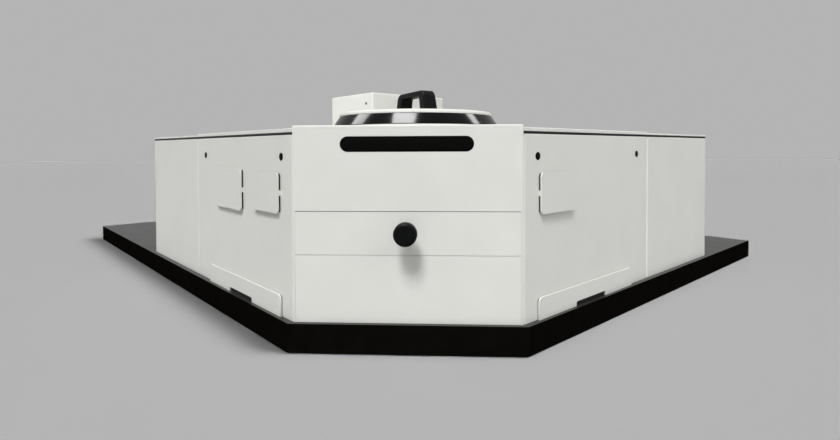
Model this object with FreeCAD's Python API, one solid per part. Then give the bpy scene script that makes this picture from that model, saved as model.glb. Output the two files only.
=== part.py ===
import FreeCAD, Part
import math
import os

# Photoluminescence spectrometer on its base plate: a sample chamber with a round lid stands at the
# corner of two monochromator arms, and a supply housing stands between the arms.
# Millimetres, +Z up, the chamber's front faces -Y. The origin is on the bench under the sample.

Vec = FreeCAD.Vector
UP = Vec(0, 0, 1)
ORIGIN = Vec(0, 0, 0)

# Clearances
moving_gap = 0.3
slide_gap = 0.3
pin_clearance = 0.05
overshoot = 1.0

# Base plate
pad_height = 2.0
pad_size = 70.0
pad_inset = 110.0
base_thickness = 50.8
base_skin = 5.0
base_rim = 6.0
base_tray_skin = 3.0
base_rib = 3.0
base_rib_pitch = 290.0
base_front_margin = 10.0
base_side_margin = 13.0
base_left_run = 1528.0
base_right_run = 1190.0
base_edge_chamfer = 1.0

# Sample chamber
front_width = 400.0
chamber_height = 345.0
chamber_wall = 8.0
sample_forward = 12.84
beam_height = 170.0
side_gap = 0.3
top_plate = 4.0
top_edge_radius = 2.5
lid_opening_radius = 160.0
lid_seat_radius = 184.0
lid_seat_height = 6.0

# Front panels
panel_thickness = 3.2
panel_seam = 1.2
side_seam = 0.3
flap_bottom = 118.3
flap_top = 194.3
flap_thickness = 2.9
flap_side_strip = 3.4
lower_panel_seam = 0.3
flap_port_half_width = 150.0
flap_port_bottom = 127.0
flap_port_top = 189.0
flap_pin_radius = 0.8
flap_pin_length = 14.0

# Smoked window
window_length = 233.0
window_height = 27.4
window_centre = 312.0
window_flange = 5.0
window_flange_thickness = 2.0
window_recess = 0.4
window_gap = 0.2

# Pull knob
knob_height = 161.0
knob_radius = 20.0
knob_reach = 45.0
knob_head = 20.0
knob_edge = 5.0
knob_stem_radius = 7.5

# Sample lid
lid_base_radius = 183.0
lid_foot = 1.0
lid_top_radius = 169.5
lid_ring_height = 28.0
lid_ring_inner = 150.0
lid_spigot = 7.0
lid_disc_thickness = 8.0
lid_disc_edge = 5.0
lid_plug_depth = 4.0

# Bridge handle on the lid
handle_turn = -60.0
handle_length = 154.0
handle_height = 48.0
handle_width = 30.0
handle_bar = 11.5
handle_leg = 29.5
handle_taper = 14.0
handle_corner = 14.0
handle_edge = 3.0

# Sample holder
stage_radius = 70.0
stage_base = 14.0
stage_column_radius = 24.0
turret_radius = 40.0
turret_bottom = 132.0
turret_height = 50.0
turret_pin_radius = 6.0
turret_pin_depth = 10.0
cuvette_count = 4
cuvette_side = 12.5
cuvette_height = 45.0
cuvette_wall = 1.25
cuvette_orbit = 26.0
cuvette_sunk = 30.0
cuvette_window = 9.0

# Lens tubes through the chamber's side walls
lens_tube_radius = 22.0
lens_tube_wall = 3.0
lens_tube_near = 95.0
lens_tube_far = 312.0
lens_radius_gap = 0.2
lens_edge = 3.0
lens_bulge = 4.0

# Arms
arm_angle = 45.0
arm_length = 842.0
arm_depth = 400.0
arm_split = 475.0
split_seam = 1.2
casing_wall = 3.0
casing_height = 329.0
casing_edge = 3.0
casing_fold = 1.6
corner_fold = 2.5
division_fold = 4.5
frame_border = 25.0
gasket_height = 4.6
gasket_width = 12.0
gasket_inset = 0.5
main_lid_thickness = 6.4
end_lid_thickness = 3.6
arm_lid_edge = 1.5
arm_lid_lip = 8.0
arm_lid_lip_inset = 15.0
arm_lid_lip_wall = 2.0

# Plugs in the round holes of the main casings
plug_near = 42.0
plug_far = 420.0
plug_drop = 39.0
plug_radius = 7.3
plug_head = 1.5
plug_stem_radius = 5.5
plug_stem = 7.0

# Raised plates on the outer walls
plate_thickness = 3.0
plate_land = 4.0
plate_land_inset = 6.0
plate_tab = 10.0
plate_corner = 8.0
port_border = 14.0
front_plate_start = 44.0
front_plate_end = 149.0
front_plate_bottom = 187.0
front_plate_top = 261.0
rear_plate_start = 207.0
rear_plate_end = 341.0
rear_plate_bottom = 178.5
rear_plate_top = 263.0
access_start = 40.5
access_end = 388.0
access_height = 39.5
access_corner = 9.0
access_border = 12.0
access_land = 2.0
cable_slot_start = 162.0
cable_slot_end = 273.0
cable_slot_height = 9.0
cable_slot_corner = 4.0

# End vents
vent_count = 9
vent_length = 160.0
vent_height = 7.0
vent_pitch = 15.0
vent_bottom = 90.0

# Optical deck
deck_start = 405.0
deck_end = 820.0
deck_edge = 30.0
deck_top = 105.0
deck_thickness = 10.0
deck_leg = 24.0
deck_leg_inset = 32.0

# Mirrors and grating turret
focal_length = 325.0
slit_position = 452.0
grating_position = 512.0
return_margin = 74.9
mirror_side = 70.0
mirror_thickness = 10.0
mirror_plate = 84.0
mirror_plate_thickness = 8.0
mirror_foot = 30.0
mirror_foot_thickness = 8.0
grating_drive_radius = 46.0
grating_drive_height = 20.0
grating_spindle_radius = 8.0
grating_spindle = 12.0
grating_table_radius = 42.0
grating_table = 8.0
grating_side = 52.0
grating_height = 60.0
grating_thickness = 8.0

# Slits
slit_block = 18.0
slit_block_width = 36.0
slit_block_top = 205.0
slit_aperture = 9.0
slit_rail = 2.4
slit_rail_height = 4.0
jaw_thickness = 1.6
jaw_width = 15.0
jaw_height = 24.0
slit_travel = 3.0

# Filter wheel
filter_wheel_front = 436.0
filter_wheel_thickness = 6.0
filter_wheel_radius = 40.0
filter_orbit = 27.0
filter_count = 5
filter_radius = 9.0
filter_hub_radius = 9.0
filter_shaft_radius = 3.0
filter_shaft_length = 12.0
motor_size = 38.0
motor_length = 30.0
motor_pillar = 24.0

# Shutter
blade_position = 444.5
blade_thickness = 1.5
blade_radius = 9.0
blade_arm = 7.0
blade_hub_radius = 6.0
shutter_side = 30.0
shutter_rise = 30.0
shutter_shaft_radius = 2.0
shutter_shaft_length = 8.0
solenoid_radius = 11.0
solenoid_length = 22.0
solenoid_post = 10.0

# Lamp and detector housings
housing_start = 205.0
housing_end = 398.0
housing_width = 96.0
housing_bottom = 30.0
housing_top = 250.0
housing_wall = 4.0
housing_leg = 14.0
housing_leg_inset = 20.0
housing_leg_depth = 30.0
housing_port_radius = 14.0
tube_position = 340.0
tube_socket_radius = 18.0
tube_socket_height = 60.0
tube_radius = 14.0
tube_length = 120.0
bulb_radius = 11.0
bulb_stem_radius = 4.5

# Rear supply housing
rear_corner_x = -145.0
rear_corner_y = 600.0
rear_width = 287.0
rear_depth = 218.0
rear_height = 467.0
rear_wall = 3.0
rear_cap = 4.0
rear_cap_edge = 2.0
rear_plug_side = 32.0
rear_plug_drop = 30.0
rear_plug_radius = 4.0
fan_height = 330.0
fan_radius = 55.0
fan_guard_bar = 3.0
fan_guard_pitch = 22.0
fan_boss_radius = 14.0
fan_pin_radius = 3.0
fan_pin_length = 16.0
fan_hub_radius = 20.0
fan_hub_length = 18.0
fan_blade_count = 7
fan_blade_tip_gap = 3.0
fan_blade_thickness = 1.6
fan_blade_pitch = 35.0
gland_height = 60.0
gland_radius = 11.0
gland_reach = 20.0
cord_radius = 3.6
rocker_height = 110.0
rocker_width = 18.0
rocker_length = 28.0
rocker_depth = 14.0
rocker_proud = 3.0
rocker_pin_radius = 2.0
rocker_pin_length = 3.0
rocker_tilt_room = 2.0

# Worked out from the sizes above
floor = pad_height + base_thickness
half_front = front_width / 2
turn = math.radians(arm_angle)
cut = math.tan(turn)
chamber_depth = arm_depth / math.cos(turn)
sample_depth = chamber_depth / 2 - sample_forward
beam_offset = half_front * math.sin(turn) + sample_depth * math.cos(turn)
sample_run = sample_depth * math.sin(turn) - half_front * math.cos(turn)
top_underside = chamber_height - top_plate
lid_seat = chamber_height + lid_seat_height + moving_gap
lid_ring_top = chamber_height + lid_ring_height
gasket_top = casing_height + gasket_height
plug_height = casing_height - plug_drop
rear_plug_height = rear_height - rear_plug_drop
arm_lid_seat = gasket_top + moving_gap
mirror_position = slit_position + focal_length
return_offset = return_margin
optics_offset = (beam_offset - return_offset) / 2
grating_offset = return_offset + optics_offset
filter_axis_offset = beam_offset - filter_orbit
hinge_y = flap_thickness / 2
hinge_z = flap_bottom + hinge_y


# Simple solids

def block(x0, x1, y0, y1, z0, z1):
    return Part.makeBox(x1 - x0, y1 - y0, z1 - z0, Vec(x0, y0, z0))


def rod(radius, start, end):
    start = Vec(*start)
    along = Vec(*end) - start
    return Part.makeCylinder(radius, along.Length, start, along)


def square_post(side, x, y, z0, z1):
    half = side / 2
    return block(x - half, x + half, y - half, y + half, z0, z1)


def prism(points, z0, z1):
    corners = [Vec(x, y, z0) for x, y in points]
    face = Part.Face(Part.makePolygon(corners + corners[:1]))
    return face.extrude(UP * (z1 - z0))


def inset_prism(points, inset, z0, z1):
    corners = [Vec(x, y, z0) for x, y in points]
    wire = Part.makePolygon(corners + corners[:1])
    face = Part.Face(wire.makeOffset2D(-inset))
    return face.extrude(UP * (z1 - z0))


def turned(profile, centre=ORIGIN):
    corners = [Vec(r, 0, z) for r, z in profile]
    face = Part.Face(Part.makePolygon(corners + corners[:1]))
    solid = face.revolve(ORIGIN, UP, 360)
    solid.translate(centre)
    return solid


def joined(*shapes):
    return shapes[0].multiFuse(list(shapes[1:])).removeSplitter()


def group(*shapes):
    return Part.makeCompound(list(shapes))


def spun(shape, angle, centre=ORIGIN, axis=UP):
    copy = shape.copy()
    copy.rotate(centre, axis, angle)
    return copy


def moved(shape, x=0.0, y=0.0, z=0.0):
    copy = shape.copy()
    copy.translate(Vec(x, y, z))
    return copy


def ring_of(shape, count, centre=ORIGIN, axis=UP):
    return [spun(shape, 360.0 * step / count, centre, axis) for step in range(count)]


# A rounded plate that stands in the XZ plane, from y0 to y1
def upright_plate(x0, x1, z0, z1, radius, y0, y1):
    plate = block(x0, x1, y0, y1, z0, z1)
    return plate.makeFillet(radius, edges_along(plate, Vec(0, 1, 0)))


def stadium(length, height, centre_z, y0, y1):
    radius = height / 2
    half_run = length / 2 - radius
    middle = block(-half_run, half_run, y0, y1, centre_z - radius, centre_z + radius)
    ends = [rod(radius, (x, y0, centre_z), (x, y1, centre_z)) for x in (-half_run, half_run)]
    return joined(middle, *ends)


def edges_along(shape, direction, test=lambda middle: True):
    found = []
    for edge in shape.Edges:
        if len(edge.Vertexes) != 2 or not isinstance(edge.Curve, Part.Line):
            continue
        along = edge.Vertexes[1].Point - edge.Vertexes[0].Point
        if along.cross(direction).Length < 0.001 * along.Length and test(edge.CenterOfMass):
            found.append(edge)
    return found


def level_edges(shape, height):
    return [edge for edge in shape.Edges
            if abs(edge.BoundBox.ZMin - height) < 0.001 and abs(edge.BoundBox.ZMax - height) < 0.001]


# Placing: chamber parts are drawn from the middle of the front face's foot, arm parts from the front
# corner with x along the outer wall and y inwards, rear parts from the near corner of the housing

def in_chamber(shape):
    return moved(shape, 0, -sample_depth, floor)


def in_arm(shape, side):
    placed = moved(spun(shape, arm_angle), half_front, -sample_depth, floor)
    return placed if side == "right" else placed.mirror(ORIGIN, Vec(1, 0, 0))


def in_both_arms(shape):
    return group(in_arm(shape, "left"), in_arm(shape, "right"))


def in_rear(shape):
    return moved(spun(shape, arm_angle), rear_corner_x, rear_corner_y - sample_depth, floor)


def save(name, shape):
    shape.exportStep("parts/" + name + ".step")


# Base plate

def crossing(point, direction, other, other_direction):
    between = other - point
    bottom = direction.x * other_direction.y - direction.y * other_direction.x
    run = (between.x * other_direction.y - between.y * other_direction.x) / bottom
    return point + direction * run


def base_outline():
    front = Vec(0, -sample_depth - base_front_margin, 0)
    sideways = Vec(1, 0, 0)
    right_way = Vec(math.cos(turn), math.sin(turn), 0)
    left_way = Vec(-math.cos(turn), math.sin(turn), 0)
    right_out = Vec(math.sin(turn), -math.cos(turn), 0)
    left_out = Vec(-math.sin(turn), -math.cos(turn), 0)
    right_side = Vec(half_front, -sample_depth, 0) + right_out * base_side_margin
    left_side = Vec(-half_front, -sample_depth, 0) + left_out * base_side_margin
    right_corner = right_side + right_way * base_right_run
    left_corner = left_side + left_way * base_left_run
    corners = [crossing(left_side, left_way, front, sideways),
               crossing(right_side, right_way, front, sideways), right_corner,
               crossing(right_corner, right_out, left_corner, left_out), left_corner]
    return [(corner.x, corner.y) for corner in corners]


def base_shell():
    outline = base_outline()
    shell = prism(outline, pad_height, floor)
    shell = shell.makeChamfer(base_edge_chamfer, level_edges(shell, floor))
    return shell.cut(inset_prism(outline, base_rim, pad_height - overshoot, floor - base_skin))


def base_core():
    outline = base_outline()
    inset = base_rim + slide_gap
    core_top = floor - base_skin
    tray = inset_prism(outline, inset, pad_height, pad_height + base_tray_skin)
    space = inset_prism(outline, inset, pad_height + base_tray_skin, core_top)
    reach = base_left_run + base_right_run
    count = int(reach / base_rib_pitch)
    ribs = []
    for step in range(-count, count + 1):
        place = step * base_rib_pitch
        for angle in (arm_angle, -arm_angle):
            rib = block(-reach, reach, place - base_rib / 2, place + base_rib / 2,
                        pad_height + base_tray_skin, core_top)
            rib = spun(rib, angle).common(space)
            if rib.Solids:
                ribs.append(rib)
    return joined(tray, *ribs)


def base_pads():
    corners = base_outline()
    half = pad_size / 2
    pad = block(-half, half, -half, half, 0, pad_height)
    front_left, front_right, right, back, left = [Vec(x, y, 0) for x, y in corners]
    middle = (left + right) * 0.5
    pads = [pad]
    for point in (front_left, front_right, right, back, left, (right + back) * 0.5, (left + back) * 0.5,
                  (front_left + left) * 0.5, (front_right + right) * 0.5):
        inwards = (middle - point).normalize()
        place = point + inwards * pad_inset
        pads.append(moved(pad, place.x, place.y))
    return group(*pads)


# Sample chamber

def beam_cutter(radius):
    sample = Vec(0, sample_depth, beam_height)
    cutters = []
    for sign in (1, -1):
        way = Vec(sign * math.cos(turn), math.sin(turn), 0)
        cutters.append(Part.makeCylinder(radius, arm_length, sample, way))
    return cutters


def chamber_body():
    half = half_front - side_gap
    body = block(-half, half, panel_thickness, chamber_depth, 0, top_underside)
    inside = block(-half + chamber_wall, half - chamber_wall, panel_thickness + chamber_wall,
                   chamber_depth - chamber_wall, chamber_wall, top_underside + overshoot)
    port = block(-flap_port_half_width, flap_port_half_width, 0, panel_thickness + chamber_wall + overshoot,
                 flap_port_bottom, flap_port_top)
    flange_length = window_length + 2 * (window_flange + window_gap)
    flange_height = window_height + 2 * (window_flange + window_gap)
    window = stadium(flange_length, flange_height, window_centre, 0,
                     panel_thickness + chamber_wall + overshoot)
    cutters = [inside, port, window] + beam_cutter(lens_tube_radius + slide_gap)
    return body.cut(cutters)


def chamber_top():
    top = block(-half_front, half_front, 0, chamber_depth, top_underside, chamber_height)
    top = top.makeFillet(top_edge_radius, level_edges(top, chamber_height))
    seat_top = chamber_height + lid_seat_height
    seat = rod(lid_seat_radius, (0, sample_depth, top_underside), (0, sample_depth, seat_top))
    hole = rod(lid_opening_radius, (0, sample_depth, top_underside - overshoot),
               (0, sample_depth, seat_top + overshoot))
    return joined(top, seat).cut(hole)


def front_surround():
    sheet = block(-half_front, half_front, 0, panel_thickness, 0, top_underside)
    half_opening = half_front - flap_side_strip
    opening = block(-half_opening, half_opening, -overshoot, panel_thickness + overshoot,
                    -overshoot, flap_top + panel_seam)
    window = stadium(window_length, window_height, window_centre, -overshoot, panel_thickness + overshoot)
    pin_radius = flap_pin_radius + pin_clearance
    half_pin = half_opening + flap_side_strip - pin_clearance
    pin_bore = rod(pin_radius, (-half_pin, hinge_y, hinge_z), (half_pin, hinge_y, hinge_z))
    return sheet.cut([opening, window, pin_bore])


def panel_half_width():
    return half_front - flap_side_strip - side_seam


def lower_panel():
    half = panel_half_width()
    return block(-half, half, 0, panel_thickness, 0, flap_bottom - lower_panel_seam)


def front_flap():
    half = panel_half_width()
    sheet = block(-half, half, 0, flap_thickness, hinge_z, flap_top)
    edge = rod(hinge_y, (-half, hinge_y, hinge_z), (half, hinge_y, hinge_z))
    flap = joined(sheet, edge)
    bores = []
    for sign in (-1, 1):
        inner = sign * (half - flap_pin_length)
        outer = sign * (half + overshoot)
        bores.append(rod(flap_pin_radius + pin_clearance, (inner, hinge_y, hinge_z),
                         (outer, hinge_y, hinge_z)))
    return flap.cut(bores)


def flap_pins():
    inner = panel_half_width() - flap_pin_length + overshoot
    outer = half_front - 2 * pin_clearance
    pins = [rod(flap_pin_radius, (sign * inner, hinge_y, hinge_z), (sign * outer, hinge_y, hinge_z))
            for sign in (-1, 1)]
    return group(*pins)


def pull_knob():
    neck = knob_reach - knob_head
    bevel = knob_edge / 2
    knob = turned([(0, 0), (knob_stem_radius, 0), (knob_stem_radius, neck), (knob_radius - bevel, neck),
                   (knob_radius, neck + bevel), (knob_radius, knob_reach - knob_edge),
                   (knob_radius - knob_edge, knob_reach), (0, knob_reach)])
    return moved(spun(knob, 90, axis=Vec(1, 0, 0)), 0, 0, knob_height)


def smoked_window():
    land = stadium(window_length - 2 * window_gap, window_height - 2 * window_gap, window_centre,
                   window_recess, panel_thickness)
    flange = stadium(window_length + 2 * window_flange, window_height + 2 * window_flange, window_centre,
                     panel_thickness, panel_thickness + window_flange_thickness)
    return joined(land, flange)


# Sample lid

def lid_centre():
    return Vec(0, sample_depth, 0)


def lid_ring():
    spigot_radius = lid_opening_radius - 2 * moving_gap
    spigot_foot = chamber_height - lid_spigot
    profile = [(lid_ring_inner, spigot_foot), (spigot_radius, spigot_foot), (spigot_radius, lid_seat),
               (lid_base_radius, lid_seat), (lid_base_radius, lid_seat + lid_foot),
               (lid_top_radius, lid_ring_top), (lid_ring_inner, lid_ring_top)]
    return turned(profile, lid_centre())


def lid_disc():
    disc_top = lid_ring_top + lid_disc_thickness
    plug_bottom = chamber_height - lid_plug_depth
    plug_radius = lid_ring_inner - slide_gap
    profile = [(0, plug_bottom), (plug_radius, plug_bottom), (plug_radius, lid_ring_top),
               (lid_top_radius, lid_ring_top), (lid_top_radius, disc_top - lid_disc_edge),
               (lid_top_radius - lid_disc_edge, disc_top), (0, disc_top)]
    return turned(profile, lid_centre())


def lid_handle():
    foot = handle_length / 2
    top = foot - handle_taper
    gap_foot = foot - handle_leg
    gap_top = gap_foot - handle_taper / 3
    gap_height = handle_height - handle_bar
    outline = [(-foot, 0), (-top, handle_height), (top, handle_height), (foot, 0),
               (gap_foot, 0), (gap_top, gap_height), (-gap_top, gap_height), (-gap_foot, 0)]
    corners = [Vec(x, -handle_width / 2, z) for x, z in outline]
    face = Part.Face(Part.makePolygon(corners + corners[:1]))
    handle = face.extrude(Vec(0, handle_width, 0))
    across = Vec(0, 1, 0)
    outer = edges_along(handle, across, lambda middle: middle.z > gap_height + overshoot)
    handle = handle.makeFillet(handle_corner, outer)
    inner = edges_along(handle, across, lambda middle: abs(middle.z - gap_height) < overshoot)
    handle = handle.makeFillet(handle_corner / 2, inner)
    rims = [edge for edge in handle.Edges
            if abs(edge.BoundBox.YMin - edge.BoundBox.YMax) < 0.001 and edge.BoundBox.ZMax > 0.001
            and edge.BoundBox.XLength + edge.BoundBox.ZLength > 0.001]
    handle = handle.makeChamfer(handle_edge, rims)
    handle = spun(handle, handle_turn)
    return moved(handle, 0, sample_depth, lid_ring_top + lid_disc_thickness)


# Sample holder

def holder_axis():
    return Vec(0, sample_depth + cuvette_orbit, 0)


def sample_stage():
    column_top = turret_bottom - moving_gap
    profile = [(0, chamber_wall), (stage_radius, chamber_wall), (stage_radius, chamber_wall + stage_base),
               (stage_column_radius, chamber_wall + stage_base), (stage_column_radius, column_top),
               (turret_pin_radius, column_top), (turret_pin_radius, column_top + turret_pin_depth),
               (0, column_top + turret_pin_depth)]
    return turned(profile, holder_axis())


def sample_turret():
    turret = Part.makeCylinder(turret_radius, turret_height, Vec(0, 0, turret_bottom))
    bore = Part.makeCylinder(turret_pin_radius + pin_clearance, turret_pin_depth + 2 * moving_gap,
                             Vec(0, 0, turret_bottom))
    half = cuvette_side / 2 + slide_gap
    pocket_floor = turret_bottom + turret_height - cuvette_sunk
    pocket = block(-half, half, -cuvette_orbit - half, -cuvette_orbit + half, pocket_floor,
                   turret_bottom + turret_height + overshoot)
    reach = cuvette_window / 2
    window = block(-reach, reach, -turret_radius - overshoot, 0, beam_height - reach, beam_height + reach)
    side = block(-turret_radius, turret_radius, -cuvette_orbit - reach, -cuvette_orbit + reach,
                 beam_height - reach, beam_height + reach)
    cutters = [bore]
    for cutter in (pocket, window, side):
        cutters.extend(ring_of(cutter, cuvette_count))
    turret = turret.cut(cutters)
    turret.translate(holder_axis())
    return turret


def cuvettes():
    half = cuvette_side / 2
    inner = half - cuvette_wall
    bottom = turret_bottom + turret_height - cuvette_sunk
    top = bottom + cuvette_height
    cell = block(-half, half, -cuvette_orbit - half, -cuvette_orbit + half, bottom, top)
    hollow = block(-inner, inner, -cuvette_orbit - inner, -cuvette_orbit + inner,
                   bottom + cuvette_wall, top + overshoot)
    cell = cell.cut(hollow)
    cell.translate(holder_axis())
    return group(*ring_of(cell, cuvette_count, holder_axis()))


# Lens tubes and lenses lie on the two beam axes, drawn along x from the sample
def on_beams(shape):
    placed = []
    for angle in (arm_angle, 180 - arm_angle):
        placed.append(moved(spun(shape, angle), 0, sample_depth, beam_height))
    return group(*placed)


def lens_tubes():
    tube = rod(lens_tube_radius, (lens_tube_near, 0, 0), (lens_tube_far, 0, 0))
    bore = rod(lens_tube_radius - lens_tube_wall, (lens_tube_near - overshoot, 0, 0),
               (lens_tube_far + overshoot, 0, 0))
    return on_beams(tube.cut(bore))


def sample_lenses():
    radius = lens_tube_radius - lens_tube_wall - lens_radius_gap
    rim = lens_tube_near + lens_bulge
    lens = turned([(0, lens_tube_near), (radius / 2, lens_tube_near), (radius, rim),
                   (radius, rim + lens_edge), (0, rim + lens_edge)])
    return on_beams(spun(lens, 90, axis=Vec(0, 1, 0)))


# Arm casings

def arm_plan(start, end, depth0=0.0, depth1=arm_depth):
    if start > 0:
        return [(start, depth0), (end, depth0), (end, depth1), (start, depth1)]
    return [(depth0 * cut, depth0), (end, depth0), (end, depth1), (depth1 * cut, depth1)]


def portal(start, end):
    inner = arm_depth - casing_wall
    frame = block(start, end, casing_wall, inner, 0, casing_height)
    window = block(start - overshoot, end + overshoot, frame_border, arm_depth - frame_border,
                   frame_border, casing_height - frame_border)
    return frame.cut(window)


def near_portal():
    width = casing_wall / math.cos(turn)
    inner = arm_depth - casing_wall
    frame = prism([(casing_wall * cut, casing_wall), (casing_wall * cut + width, casing_wall),
                   (inner * cut + width, inner), (inner * cut, inner)], 0, casing_height)
    low = frame_border
    high = arm_depth - frame_border
    window = prism([(low * cut - frame_border, low), (low * cut + frame_border, low),
                    (high * cut + frame_border, high), (high * cut - frame_border, high)],
                   frame_border, casing_height - frame_border)
    return frame.cut(window)


def raised_plate_port(start, end, bottom, top):
    return block(start + port_border, end - port_border, -overshoot, casing_wall + overshoot,
                 bottom + port_border, top - port_border)


def main_casing(side):
    end = arm_split - split_seam / 2
    inner = arm_depth - casing_wall
    outer_wall = prism(arm_plan(0, end, 0, casing_wall), 0, casing_height)
    inner_wall = prism(arm_plan(0, end, inner, arm_depth), 0, casing_height)
    casing = joined(outer_wall, inner_wall, portal(end - casing_wall, end), near_portal())
    corner = edges_along(casing, UP, lambda middle: middle.x > end - overshoot
                         and (middle.y < overshoot or middle.y > arm_depth - overshoot))
    casing = casing.makeFillet(division_fold, corner)
    casing = casing.makeFillet(corner_fold, edges_along(casing, UP, lambda middle: middle.x < 0.001))
    rim = edges_along(casing, Vec(1, 0, 0), lambda middle: middle.z > casing_height - overshoot
                      and (middle.y < overshoot or middle.y > arm_depth - overshoot))
    casing = casing.makeFillet(casing_fold, rim)
    cutters = [block(access_start + access_border, access_end - access_border, -overshoot,
                     casing_wall + overshoot, -overshoot, access_height - access_border)]
    for place in (plug_near, plug_far):
        cutters.append(rod(plug_stem_radius, (place, -overshoot, plug_height),
                           (place, casing_wall + overshoot, plug_height)))
    cutters.append(raised_plate_port(front_plate_start, front_plate_end, front_plate_bottom,
                                     front_plate_top))
    if side == "left":
        cutters.append(raised_plate_port(rear_plate_start, rear_plate_end, rear_plate_bottom,
                                         rear_plate_top))
    return in_arm(casing.cut(cutters), side)


def end_casing(side):
    start = arm_split + split_seam / 2
    shell = block(start, arm_length, 0, arm_depth, 0, casing_height)
    far_corners = edges_along(shell, UP, lambda middle: middle.x > start + overshoot)
    shell = shell.makeFillet(casing_edge, far_corners)
    near_corners = edges_along(shell, UP, lambda middle: middle.x < start + overshoot)
    shell = shell.makeFillet(division_fold, near_corners)
    shell = shell.makeFillet(casing_fold, level_edges(shell, casing_height))
    inside = block(start + casing_wall, arm_length - casing_wall, casing_wall, arm_depth - casing_wall,
                   -overshoot, casing_height + overshoot)
    window = block(start - overshoot, start + casing_wall + overshoot, frame_border,
                   arm_depth - frame_border, frame_border, casing_height - frame_border)
    cutters = [inside, window]
    for step in range(vent_count):
        low = vent_bottom + step * vent_pitch
        cutters.append(block(arm_length - casing_wall - overshoot, arm_length + overshoot,
                             (arm_depth - vent_length) / 2, (arm_depth + vent_length) / 2,
                             low, low + vent_height))
    return in_arm(shell.cut(cutters), side)


def lid_gasket():
    outline = arm_plan(0, arm_length)
    half_seam = split_seam / 2
    strip = inset_prism(outline, gasket_inset, casing_height, gasket_top)
    main_hole = inset_prism(arm_plan(0, arm_split - half_seam), gasket_width, casing_height - overshoot,
                            gasket_top + overshoot)
    end_hole = inset_prism(arm_plan(arm_split + half_seam, arm_length), gasket_width,
                           casing_height - overshoot, gasket_top + overshoot)
    return strip.cut([main_hole, end_hole])


def arm_cover(outline, thickness, side):
    top = arm_lid_seat + thickness
    plate = inset_prism(outline, slide_gap, arm_lid_seat, top)
    plate = plate.makeFillet(arm_lid_edge, level_edges(plate, top))
    lip = inset_prism(outline, arm_lid_lip_inset, arm_lid_seat - arm_lid_lip, arm_lid_seat)
    hollow = inset_prism(outline, arm_lid_lip_inset + arm_lid_lip_wall,
                         arm_lid_seat - arm_lid_lip - overshoot, arm_lid_seat)
    return in_arm(joined(plate, lip.cut(hollow)), side)


def main_lid(side):
    return arm_cover(arm_plan(0, arm_split), main_lid_thickness, side)


def end_lid(side):
    return arm_cover(arm_plan(arm_split, arm_length), end_lid_thickness, side)


# Plates and plugs on the outer walls

def raised_plate(start, end, bottom, top, corner):
    face = upright_plate(start, end, bottom, top, corner, -plate_land - plate_thickness, -plate_land)
    land = upright_plate(start + plate_land_inset, end - plate_land_inset, bottom + plate_land_inset,
                         top - plate_land_inset, corner - plate_land_inset, -plate_land, 0)
    middle = (bottom + top) / 2
    tab = block(start, end, -plate_land, 0, middle - plate_tab / 2, middle + plate_tab / 2)
    return joined(face, land, tab)


def front_port_plate(side):
    return in_arm(raised_plate(front_plate_start, front_plate_end, front_plate_bottom, front_plate_top,
                               plate_corner), side)


def rear_port_plate(side):
    return in_arm(raised_plate(rear_plate_start, rear_plate_end, rear_plate_bottom, rear_plate_top,
                               plate_corner), side)


def access_panel(side):
    proud = access_land + plate_thickness
    face = block(access_start, access_end, -proud, -access_land, 0, access_height)
    top_corners = edges_along(face, Vec(0, 1, 0), lambda middle: middle.z > access_height - overshoot)
    face = face.makeFillet(access_corner, top_corners)
    land = block(access_start + plate_land_inset, access_end - plate_land_inset, -access_land, 0,
                 0, access_height - plate_land_inset)
    top_corners = edges_along(land, Vec(0, 1, 0),
                              lambda middle: middle.z > access_height - plate_land_inset - overshoot)
    land = land.makeFillet(access_corner - plate_land_inset, top_corners)
    slot = block(cable_slot_start, cable_slot_end, -proud - overshoot, overshoot,
                 -cable_slot_height, cable_slot_height)
    slot = slot.makeFillet(cable_slot_corner, edges_along(slot, Vec(0, 1, 0)))
    return in_arm(joined(face, land).cut(slot), side)


def hole_plugs():
    stem_radius = plug_stem_radius - pin_clearance
    cap = rod(plug_radius, (0, -plug_head, plug_height), (0, 0, plug_height))
    stem = rod(stem_radius, (0, 0, plug_height), (0, plug_stem, plug_height))
    plug = joined(cap, stem)
    plugs = [in_arm(moved(plug, place), side)
             for side in ("left", "right") for place in (plug_near, plug_far)]
    cap = rod(rear_plug_radius, (-plug_head, rear_plug_side, rear_plug_height),
              (0, rear_plug_side, rear_plug_height))
    stem = rod(rear_plug_radius / 2, (0, rear_plug_side, rear_plug_height),
               (plug_stem, rear_plug_side, rear_plug_height))
    plugs.append(in_rear(joined(cap, stem)))
    return group(*plugs)


# Optics in the arms

def optical_deck():
    plate = block(deck_start, deck_end, deck_edge, arm_depth - deck_edge, deck_top - deck_thickness, deck_top)
    legs = []
    for x in (deck_start + deck_leg_inset, deck_end - deck_leg_inset):
        for y in (deck_edge + deck_leg_inset, arm_depth - deck_edge - deck_leg_inset):
            legs.append(square_post(deck_leg, x, y, 0, deck_top - deck_thickness))
    return joined(plate, *legs)


# Half the turn between the slit's beam and the grating's beam, as seen from a mirror
def mirror_tilt():
    run = mirror_position - grating_position
    return math.degrees(math.atan2(optics_offset, run)) / 2


def mirror_pair(shape):
    first = moved(spun(shape, mirror_tilt()), mirror_position, beam_offset)
    second = moved(spun(shape, -mirror_tilt()), mirror_position, return_offset)
    return group(first, second)


def mirror_mount():
    half = mirror_plate / 2
    back = mirror_thickness
    plate = block(back, back + mirror_plate_thickness, -half, half, deck_top, beam_height + half)
    foot = block(back, back + mirror_foot, -half, half, deck_top, deck_top + mirror_foot_thickness)
    return joined(plate, foot)


def mirror():
    half = mirror_side / 2
    return block(0, mirror_thickness, -half, half, beam_height - half, beam_height + half)


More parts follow.
